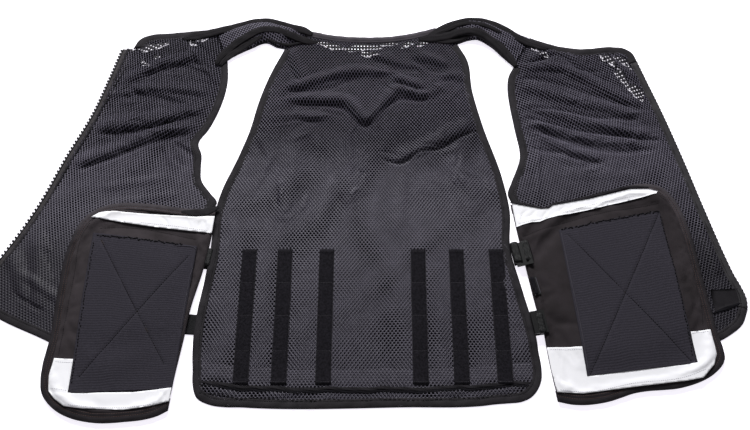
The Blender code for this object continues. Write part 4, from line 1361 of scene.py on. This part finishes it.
def zip_teeth(suffix, outline, index, length, looks):
    """Separate teeth along the edge of a zip half, reaching out as far as it is turned up."""
    inset, height = TOOTH_PLACE
    row = fine_row(outline, index, inset, (0.0, 0.0))
    vertices, faces = [], []
    for point, step in zip(*resample(on_surface(row, height), TOOTH_PITCH)):
        out = array((step[1], -step[0], 0.0))
        faces += tube_faces(len(TOOTH_RINGS), 4, len(vertices))
        for reach, half, tall in TOOTH_RINGS:
            middle = point + out * (reach * length if reach > 0 else reach)
            for along, rise in ((-half, -tall), (half, -tall), (half, tall), (-half, tall)):
                vertices.append(middle + step * along + array((0.0, 0.0, rise)))
    obj = make_object(f"zip_teeth{suffix}", vertices, faces, looks["teeth"], "plastic", smooth=False)
    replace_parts(outward(obj), f"zip_chain{suffix}")


# Tapes, straps, wings and webbing


def tape_middle(number, y):
    """The X of a tape's middle line, which sways a little."""
    return TAPE_CENTRES[number - 1] + 0.4 * math.sin(y / 21 + number)


def tape_ring(number, y):
    """A tape's cross-section: lower at a row of stitches, higher where an end is folded under."""
    near = min(abs(y - row) for row in TAPE_STITCH_ROWS)
    puff = 0.7 * min(1.0, near / 8.0) ** 0.5
    end = min(TAPE_TOP - y, y - TAPE_FOOT)
    fold = 0.7 if 0.5 < end < 7.0 else 0.0
    top = 3.0 + puff + fold
    half, middle = 0.5 * TAPE_WIDTH, tape_middle(number, y)
    ring = [(middle - half, y, 1.2), (middle - half, y, top - 0.9)]
    for across in np.linspace(-0.92, 0.92, 7):
        ring.append((middle + across * half, y, top - 0.5 * across**4))
    return [*ring, (middle + half, y, top - 0.9), (middle + half, y, 1.2)]


def build_tapes(looks):
    """The six upright tapes, drawn in where stitches cross them."""
    rows = []
    half = 0.5 * TAPE_WIDTH
    for number, x in enumerate(TAPE_CENTRES, start=1):
        rings = [tape_ring(number, y) for y in np.linspace(TAPE_TOP, TAPE_FOOT, TAPE_RINGS)]
        obj = loft(f"back_tape_cloth_{number}", rings, looks["tape"], "webbing")
        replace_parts(obj, f"back_tape_{number}")
        for y in (*TAPE_STITCH_ROWS, TAPE_TOP - 3.5, TAPE_FOOT + 3.5):
            z = 3.2 if y in TAPE_STITCH_ROWS else 4.3
            rows.append(((x - half + 1, y, z), (x + half - 1, y, z)))
        for edge in (-half + 0.3, half - 0.3):
            rows.append((
                (tape_middle(number, TAPE_TOP) + edge, TAPE_TOP - 1, 3.2),
                (tape_middle(number, TAPE_FOOT) + edge, TAPE_FOOT + 1, 3.2),
            ))
    stitches("tape_stitches", rows, looks["pale_thread"], "webbing", pitch=2.4, length=2.2)


def strap_body(side, looks):
    """The gathered cloth under a strap's rolled bands, and the border of what it covers."""
    table = STRAPS[side]
    necks = smooth_run([row[0:2] for row in table], parts=STRAP_PARTS)
    arms = smooth_run([row[2:4] for row in table], parts=STRAP_PARTS)
    places = np.linspace(0, len(table) - 1, len(necks))
    tall = np.interp(places, range(len(table)), [row[4] for row in table])
    rings = []
    for neck, arm, height in zip(necks, arms, tall):
        ring = [(*arm, 0.1), (*neck, 0.1)]
        for step in range(STRAP_ACROSS):
            across = (step + 0.5) / STRAP_ACROSS
            crown = math.sin(math.pi * across) ** 0.5
            wave = 0.6 * math.sin(across * 19 + neck[0] / 15)
            z = 1.0 + (0.85 * height - 1.0) * crown + wave * min(1.0, (height - 3) / 6)
            place = neck + (arm - neck) * across
            ring.append((*place, max(0.8, z)))
        rings.append(ring)
    obj = loft(f"strap_body_{side}", rings, looks["base"], "net")
    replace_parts(obj, f"shoulder_strap_{side}")
    return obj, np.vstack((necks, arms[::-1]))


def floor_heights(points):
    return np.zeros(len(points))


def raised(height_of, lift):
    """The same heights with a lift added."""
    return lambda points: height_of(points) + lift


def ribbon(name, points, width, height_of, look, rise):
    """A rolled band that lies on what the heights give, along a line of points."""
    line = smooth_run(points, SEAM_STEP)
    step = tangents(line)
    side = np.column_stack((-step[:, 1], step[:, 0]))
    along = np.arange(len(line)) * SEAM_STEP
    middle = np.pad(height_of(line), 3, mode="edge")
    middle = np.convolve(middle, np.ones(7) / 7, mode="valid")
    rings = []
    for index, place in enumerate(line):
        end = min(along[index], along[-1] - along[index])
        swell = 0.35 + 0.65 * min(1.0, end / 22.0) ** 0.7
        half = 0.5 * width * swell * (1 + 0.06 * math.sin(along[index] / 17))
        ring = []
        for share, tall in ROLLED_PROFILE:
            flat = place + side[index] * (share * half)
            wave = 0.3 * math.sin(along[index] / 4.1 + 3 * share)
            ring.append((*flat, max(0.3, middle[index] - 0.6 + tall * swell * (rise + wave))))
        rings.append(ring)
    return loft(name, rings, look, "binding")


def build_strap(side, panel_heights, looks):
    """A gathered strap: its body, the net over it and the rolled bands with their stitches."""
    body, border = strap_body(side, looks)
    over = surface_of(body)

    def height_of(points):
        panels = np.max([heights(points) for heights in panel_heights], axis=0)
        return np.maximum(over(points), panels + 1.5)

    net_layer(
        f"strap_net_{side}", border, STRAP_TURN, (1.0, 1.0), (0.5, 1.0), STRAP_OPENING, STRAP_NET,
        over, looks["front_net"],
    )
    rows = []
    for name, width, rise, points in STRAP_BANDS[side]:
        obj = ribbon(f"strap_{name}_{side}", points, width, height_of, looks["strap"], rise)
        rows += seam_rows((points,), surface_of(obj), 0.1)
    stitches(f"strap_stitches_{side}", rows, looks["thread"], "binding")


def wing_pad(side, outline, looks):
    """The padded wing, swollen by a cloth simulation between its seams."""
    insets = [0.0, 0.0]
    insets[WINGS[side]["bound"]] = BINDING + CLEAR
    border = inset_border(outline, insets)
    points = [Vector(point) for point in (*border, *lattice_within(border, PAD_SPACING))]
    edges = [(k, (k + 1) % len(border)) for k in range(len(border))]
    flat, _, faces, *_ = delaunay_2d_cdt(points, edges, [], 1, 1e-4)
    flat = array([tuple(point) for point in flat])
    away = edge_distance(flat, border)
    crown = 1.0 - np.clip(1.0 - away / PAD_SLOPE, 0.0, 1.0) ** 2
    count = len(flat)
    bottom = on_surface(flat, PAD_FLOOR)
    top = on_surface(flat, PAD_RIM + PAD_CROWN * crown)
    skin = [tuple(reversed(face)) for face in faces]
    skin += [tuple(index + count for index in face) for face in faces]
    sides = dict.fromkeys(side for face in faces for side in zip(face, face[1:] + face[:1]))
    for start, end in sides:
        if (end, start) not in sides:
            skin.append((start, end, end + count, start + count))
    obj = make_object(
        f"wing_pad_{side}", np.vstack((bottom, top)), skin, looks[f"cover_{side}"], "cover",
        uvs=np.vstack((flat, flat)),
    )
    outward(obj)
    swell(obj, count, away)
    fine = obj.modifiers.new("finer", "SUBSURF")
    fine.levels = 1
    smooth = obj.evaluated_get(bpy.context.evaluated_depsgraph_get())
    mesh = bpy.data.meshes.new_from_object(smooth)
    obj.modifiers.remove(fine)
    obj.data = mesh
    groove(obj, WINGS[side]["seams"], *COVER_SEAM)
    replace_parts(obj, f"wing_{side}")
    return obj


def groove(obj, lines, reach, depth):
    """Presses the upper side of a pad in along seams."""
    mesh = obj.data
    places = array([tuple(vertex.co) for vertex in mesh.vertices])
    table = places[:, :2] / MM + BOX_CENTRE
    for line in lines:
        away = line_distance(table, smooth_run(line, SEAM_STEP))
        dent = depth * np.clip(1.0 - away / reach, 0.0, 1.0) ** 2
        places[:, 2] -= np.where(places[:, 2] > COVER_SEAM_FLOOR * MM, dent * MM, 0.0)
    mesh.vertices.foreach_set("co", places.astype(np.float32).ravel())
    mesh.update()


def seam_rows(lines, height_of, lift):
    """Seam lines laid on a surface, for stitches."""
    rows = [smooth_run(line, SEAM_STEP) for line in lines]
    return [on_surface(row, height_of(row) + lift) for row in rows]


def build_wing(side, looks):
    """A padded wing with its binding, white bands, ribbed patch and rows of stitches."""
    wing = WINGS[side]
    outline = [smooth_run(run, RUN_SPACING) for run in wing["runs"]]
    pad = wing_pad(side, outline, looks)
    rim = edge_band(
        f"wing_rim_{side}", outline, wing["bound"], WING_BINDING_PROFILE, (0.0, 0.0), (),
        looks["rim"], "binding",
    )
    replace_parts(rim, f"wing_binding_{side}")
    over = surface_of(pad)
    white = [build_band(side, name, outline, over, looks) for name in ("top", "bottom")]
    patch_heights = build_patch(side, over, looks)
    rows = seam_rows(wing["seams"], over, 0.1)
    stitches(f"wing_stitches_{side}", rows, looks["thread"], "cover")
    rows = [
        on_surface(fine_row(outline, wing["bound"], inset, (0.0, 0.0)), height)
        for inset, height in RIM_SEAMS
    ]
    stitches(f"wing_rim_stitches_{side}", rows, looks["brown_thread"], "binding")
    for part, look, lift, sizes in PATCH_THREADS:
        rows = seam_rows(wing[part], patch_heights, lift)
        stitches(f"patch_{part}_{side}", rows, looks[look], "patch", *sizes)
    rows = seam_rows(wing["band_stitches"], surface_of(*white), 0.1)
    stitches(f"band_stitches_{side}", rows, looks["white_thread"], "white", pitch=3.0, length=2.0)


def build_band(side, name, outline, over, looks):
    """A white band that follows the pad, laps over the rim's tape and crinkles where it bends."""
    corners = array(WINGS[side]["bands"][name])
    border = []
    for start, end in zip(corners, np.roll(corners, -1, axis=0)):
        count = max(1, round(np.linalg.norm(end - start) / BORDER_STEP))
        border += [start + (end - start) * (step / count) for step in range(count)]
    border = array(border)
    rim = inset_border(outline, [0.0, 0.0])

    def height_of(points):
        x, y = points[:, 0], points[:, 1]
        local = over(points)
        inside = 0.5 * np.clip((edge_distance(points[:, :2], rim) - 14.0) / 6.0, 0.0, 1.0)
        seat = np.maximum(local, BAND_SEAT)
        soft = np.sin(x / 23 + y / 31) * 0.15
        creases = [(*BAND_CREASE, array(line)) for line in BAND_CREASES[side, name]]
        return seat + (local - seat) * inside + soft + relief(points, creases)

    obj = cloth_sheet(
        f"white_band_{name}_{side}", border, BAND_SPACING, 1.0, height_of, looks["white"], "white"
    )
    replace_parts(obj, f"wing_band_{name}_{side}")
    lay(obj, border, [f"wing_pad_{side}"])
    return obj


def on_patch(corners, s, t):
    """The point of the patch at share s across and t up."""
    upper_left, lower_left, lower_right, upper_right = (array(corner) for corner in corners)
    s, t = np.asarray(s)[..., None], np.asarray(t)[..., None]
    low = lower_left + (lower_right - lower_left) * s
    high = upper_left + (upper_right - upper_left) * s
    return low + (high - low) * t


def grid_shares(rows, columns):
    """Shares up and across at each point of a grid."""
    return np.meshgrid(np.linspace(0, 1, rows), np.linspace(0, 1, columns), indexing="ij")


def patch_seat(corners, over):
    """The smoothed heights that a patch lies on, as a function of shares across and up."""
    t, s = grid_shares(SEAT_ROWS, SEAT_COLUMNS)
    coarse = over(on_patch(corners, s, t).reshape(-1, 2)).reshape(SEAT_ROWS, SEAT_COLUMNS)
    coarse = np.maximum(coarse, PATCH_LEAST)
    lowest = coarse - PATCH_SINK
    for _ in range(PATCH_SMOOTHINGS):
        wide = np.pad(coarse, 1, mode="edge")
        parts = (wide[j:j + SEAT_ROWS, i:i + SEAT_COLUMNS] for j in range(3) for i in range(3))
        coarse = sum(parts) / 9.0
    coarse = np.maximum(coarse, lowest)

    def seat(s, t):
        row, column = t * (SEAT_ROWS - 1), s * (SEAT_COLUMNS - 1)
        j = np.clip(row.astype(int), 0, SEAT_ROWS - 2)
        i = np.clip(column.astype(int), 0, SEAT_COLUMNS - 2)
        v, u = row - j, column - i
        low = coarse[j, i] * (1 - u) + coarse[j, i + 1] * u
        high = coarse[j + 1, i] * (1 - u) + coarse[j + 1, i + 1] * u
        return low * (1 - v) + high * v

    return seat


def build_patch(side, over, looks):
    """A ribbed patch, drawn in along its border and its crossed seams."""
    corners = WINGS[side]["patch"]
    width = np.linalg.norm(array(corners[3]) - array(corners[0]))
    height = np.linalg.norm(array(corners[0]) - array(corners[1]))
    columns, rows = round(width / PATCH_SPACING), round(height / PATCH_ROW)
    t, s = grid_shares(rows + 1, columns + 1)
    flat = on_patch(corners, s, t).reshape(-1, 2)
    across, up = s.ravel() * width, t.ravel() * height
    edge = np.minimum(np.minimum(across, width - across), np.minimum(up, height - up))
    wander = 0.9 * np.sin(across / 19 + up / 47) + 0.5 * np.sin(across / 7.3 + up / 29 + 1.0)
    rib = 0.5 + 0.5 * np.cos(2 * np.pi * (up + wander) / RIB_PITCH)
    lift = RIB_RISE * rib * np.clip((edge - 2.0) / 2.0, 0.0, 1.0)
    lift += SELVEDGE_RISE * np.clip(1.0 - np.abs(edge - 1.5) / 1.5, 0.0, 1.0)
    for line in WINGS[side]["cross"]:
        away = line_distance(flat, array(line))
        lift -= CROSS_DEPTH * np.clip(1.0 - away / CROSS_REACH, 0.0, 1.0)
    seat = patch_seat(corners, over)(s.ravel(), t.ravel())
    z = seat + PATCH_LIFT + lift + 0.3 * np.sin(across / 31 + up / 53)
    size = columns + 1
    faces = [
        (corner, corner + 1, corner + size + 1, corner + size)
        for first in range(0, rows * size, size)
        for corner in range(first, first + columns)
    ]
    obj = make_object(
        f"ribbed_patch_{side}", on_surface(flat, z), faces, looks["patch"], "patch",
        uvs=np.column_stack((across, up)),
    )
    thick = obj.modifiers.new("thickness", "SOLIDIFY")
    thick.thickness = PATCH_THICK * MM
    thick.offset = -1.0
    thick.use_rim_only = True
    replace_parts(obj, f"wing_patch_{side}")
    return surface_of(obj)


def webbing_strip(name, root, turn, path, width, thick, look):
    """Webbing along a path of (distance out, height) from its root, with rounded selvedges."""
    line = smooth_run(path, 1.5)
    out = array((math.cos(math.radians(turn)), math.sin(math.radians(turn))))
    side = array((-out[1], out[0]))
    section = []
    for share in np.linspace(-1.0, 1.0, 15):
        ridge = 0.12 * math.cos(14 * math.pi * share)
        section.append((share, 0.5 * thick * (1 - 0.55 * share**8) + ridge))
    for share in np.linspace(1.0, -1.0, 15):
        section.append((share, -0.5 * thick * (1 - 0.55 * share**8)))
    rings = []
    for place, (along, up) in zip(line, tangents(line)):
        ring = []
        for share, rise in section:
            flat = array(root) + out * (place[0] - up * rise) + side * (0.5 * width * share)
            ring.append((*flat, place[1] + along * rise))
        rings.append(ring)
    return loft(name, rings, look, "webbing")


def rolled_webbing(name, centre, turn, length, radius, look):
    """Webbing rolled round a bar along Y, turned about Z, with square ends and a lapped edge."""
    out = array((math.cos(math.radians(turn)), math.sin(math.radians(turn)), 0.0))
    along = array((-out[1], out[0], 0.0))
    rings = []
    for share in np.linspace(-1.0, 1.0, 25):
        size = radius * (1.0 - 0.3 * abs(share) ** 14)
        middle = array(centre) + along * (0.5 * length * share)
        ring = []
        for angle in np.linspace(0.0, 2 * math.pi, 33)[:-1]:
            lap = 1.0 + 0.08 * (0.5 + 0.5 * math.sin(angle + 0.6)) ** 4
            sway = 0.02 * math.sin(9 * share + angle)
            reach = size * (lap + sway)
            rise = array((0.0, 0.0, 0.85 * reach * math.sin(angle)))
            ring.append(middle + out * (reach * math.cos(angle)) + rise)
        rings.append(ring)
    return loft(name, rings, look, "webbing")


def build_sides(looks):
    """Webbing tabs and rolls at the sides; the plastic keeps its solids, with rounded edges."""
    for node, (x, y, length, width, turn) in SIDE_TABS.items():
        half = 0.5 * length
        path = ((-half, 0.9), (-0.4 * half, 1.3), (0.4 * half, 1.5), (half, 1.1))
        name = node.replace("side_tab", "webbing")
        obj = webbing_strip(name, (x, y), turn, path, width, TAB_THICK, looks["webbing"])
        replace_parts(obj, node)
    root, turn, width, thick = RISING_TAB
    obj = webbing_strip(
        "webbing_right_upper", root, turn, RISING_TAB_PATH, width, thick, looks["webbing"]
    )
    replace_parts(obj, "side_tab_right_upper")
    for name, centre, turn, length, radius, look in ROLLS:
        rolled_webbing(name, centre, turn, length, radius, looks[look])
    for node in PLASTIC_NODES:
        obj = bpy.data.objects[node]
        obj.material_slots[0].material = looks["plastic"]
        rounded = obj.modifiers.new("rounded", "BEVEL")
        rounded.width = PLASTIC_ROUNDING * MM
        rounded.segments = 4
        rounded.limit_method = "ANGLE"
        obj.data.shade_smooth()


def build_hem(height_of, looks):
    """The facing under the net above the hem pocket, the pocket's edge, a dark ribbon below that edge
    which is a painted shadow, and dark scallops just above the binding which are painted shadow.
    """
    line = smooth_run(BACK_HEM_SEAM, HEM_STEP)
    along = np.arange(len(line)) * HEM_STEP
    line[:, 1] += 0.9 * np.sin(along / 13) + 0.6 * np.sin(along / 5.7 + 1)
    start, end = HEM_FACING
    border = np.vstack((line + array((0.0, start)), line[::-1] + array((0.0, end))))
    facing = cloth_sheet(
        "hem_facing", border, CLOTH_SPACING, 0.75, height_of, looks["facing"], "net", thick=0.3
    )
    lay(facing, border, ["back_cloth"])
    rough = line[::3]
    ribbon(
        "hem_pocket_edge", rough + array((0.0, 2.5)), 5.0, raised(height_of, 2.3),
        looks["edge_tape"], 1.3,
    )
    # Dark scallops just above the binding: a painted shadow
    row = smooth_run(rough + array((0.0, -13.0)), HEM_STEP)
    stitches(
        "hem_scallops", [on_surface(row, height_of(row) + 2.0)], looks["thread"], "net",
        pitch=6.4, length=4.6, width=2.4, stray=0.3,
    )
    # A dark ribbon just below the pocket's edge: a painted shadow
    ribbon(
        "hem_pocket_shadow", rough + array((0.0, -1.5)), 4.0, raised(height_of, 2.1),
        looks["base"], 1.0,
    )


def build_corner_facing(height_of, looks):
    """The facing in the right front's lower corner."""
    border = array(CORNER_FACING)
    facing = cloth_sheet(
        "corner_facing_right", border, CORNER_SPACING, 2.6, height_of, looks["edge_tape"], "net",
        thick=0.4,
    )
    lay(facing, border, ["front_right_cloth"])


def build_folded_edges(rows, panel_heights, looks):
    """Folded cloth and seams at the corners, beside the left zip and above a white band; the left
    corner's dark fold also paints the shade on the wing's rim.
    """
    for name, panel, lift, width, rise, look, line in rows:
        under = panel_heights[panel] if panel else floor_heights
        ribbon(name, line, width, raised(under, lift), looks[look], rise)


def swell(obj, fixed, away):
    """Blows the pad up a little with its underside and rim held."""
    held = obj.vertex_groups.new(name="held")
    start = array([tuple(vertex.co) for vertex in obj.data.vertices])
    held.add(list(range(fixed)), 1.0, "REPLACE")
    rim = [int(index) + fixed for index in np.nonzero(away < PAD_HELD)[0]]
    held.add(rim, 1.0, "REPLACE")
    cloth = obj.modifiers.new("cloth", "CLOTH")
    cloth.settings.vertex_group_mass = "held"
    cloth.settings.quality = 5
    cloth.settings.mass = 0.15
    cloth.settings.tension_stiffness = 20
    cloth.settings.compression_stiffness = 20
    cloth.settings.bending_stiffness = 1.0
    cloth.settings.shrink_min = -0.04
    cloth.settings.shrink_max = -0.04
    cloth.settings.use_pressure = True
    cloth.settings.uniform_pressure_force = 1.5
    cloth.settings.effector_weights.gravity = 0.0
    cloth.collision_settings.use_collision = False
    scene = bpy.context.scene
    for frame_number in range(1, SWELL_FRAMES + 1):
        scene.frame_set(frame_number)
    evaluated = obj.evaluated_get(bpy.context.evaluated_depsgraph_get())
    moved = array([tuple(vertex.co) for vertex in evaluated.data.vertices])
    obj.modifiers.remove(cloth)
    obj.vertex_groups.remove(held)
    shift = moved - start
    size = np.linalg.norm(shift, axis=1)
    shift *= np.minimum(1.0, SWELL_MOST / np.maximum(size, 1e-9))[:, None]
    obj.data.vertices.foreach_set("co", (start + shift).astype(np.float32).ravel())
    obj.data.update()
    scene.frame_set(1)


def build_floor():
    mesh = bpy.data.meshes.new("floor")
    mesh.from_pydata([(-4, -4, 0), (4, -4, 0), (4, 4, 0), (-4, 4, 0)], [], [(0, 1, 2, 3)])
    look, tree, shader = new_look("floor")
    places = tree.nodes.new("ShaderNodeTexCoord")
    mottled(tree, shader, *FLOOR_TONES, 3.0, places.outputs["Object"])
    shader.inputs["Roughness"].default_value = 0.9
    glowing(shader, *FLOOR_GLOW)
    mesh.materials.append(look)
    floor = bpy.data.objects.new("floor", mesh)
    bpy.context.scene.collection.objects.link(floor)


def add_area(name, place, size, power):
    light = bpy.data.lights.new(name, "AREA")
    light.shape = "RECTANGLE"
    light.size, light.size_y = size
    light.energy = power
    obj = bpy.data.objects.new(name, light)
    obj.location = place
    obj.rotation_euler = (-Vector(place)).to_track_quat("-Z", "Y").to_euler()
    bpy.context.scene.collection.objects.link(obj)


def build_light():
    world = bpy.data.worlds.new("studio")
    bpy.context.scene.world = world
    world.use_nodes = True
    background = world.node_tree.nodes["Background"]
    colour, strength = WORLD_LIGHT
    background.inputs["Color"].default_value = colour
    background.inputs["Strength"].default_value = strength
    for row in LIGHTS:
        add_area(*row)
    bpy.context.scene.view_settings.view_transform = "Standard"


def build_camera():
    """The photo's camera, tilted towards the hem and as far away as fits the vest's size."""
    camera = bpy.data.cameras.new("camera")
    camera.lens = CAMERA_LENS
    camera.sensor_width = CAMERA_SENSOR
    obj = bpy.data.objects.new("camera", camera)
    tilt = math.radians(CAMERA_TILT)
    aim = Vector(((CAMERA_AIM_X - BOX_CENTRE[0]) * MM, -BOX_CENTRE[1] * MM, 0.0))
    obj.location = aim + Vector((0.0, -math.sin(tilt), math.cos(tilt))) * CAMERA_DISTANCE
    obj.rotation_euler = (tilt, 0.0, 0.0)
    bpy.context.scene.collection.objects.link(obj)
    bpy.context.scene.camera = obj


def build_vest(looks):
    heights = {name: build_panel(panel, looks) for name, panel in PANELS.items()}
    build_tapes(looks)
    for side in ("left", "right"):
        build_strap(side, (heights[side], heights["back"]), looks)
    for side in ("left", "right"):
        build_wing(side, looks)
    build_sides(looks)
    build_hem(heights["back"], looks)
    build_folded_edges(CORNER_FOLDS, heights, looks)
    build_corner_facing(heights["right"], looks)
    build_folded_edges(FOLDED_EDGES, heights, looks)


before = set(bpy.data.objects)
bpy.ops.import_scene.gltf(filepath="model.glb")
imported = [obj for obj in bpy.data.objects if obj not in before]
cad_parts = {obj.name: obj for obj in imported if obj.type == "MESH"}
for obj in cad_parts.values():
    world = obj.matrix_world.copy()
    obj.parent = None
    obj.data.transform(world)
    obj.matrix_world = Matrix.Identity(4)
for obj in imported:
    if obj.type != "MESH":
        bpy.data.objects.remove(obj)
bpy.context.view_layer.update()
looks = make_looks()
build_camera()
build_floor()
build_light()
build_vest(looks)
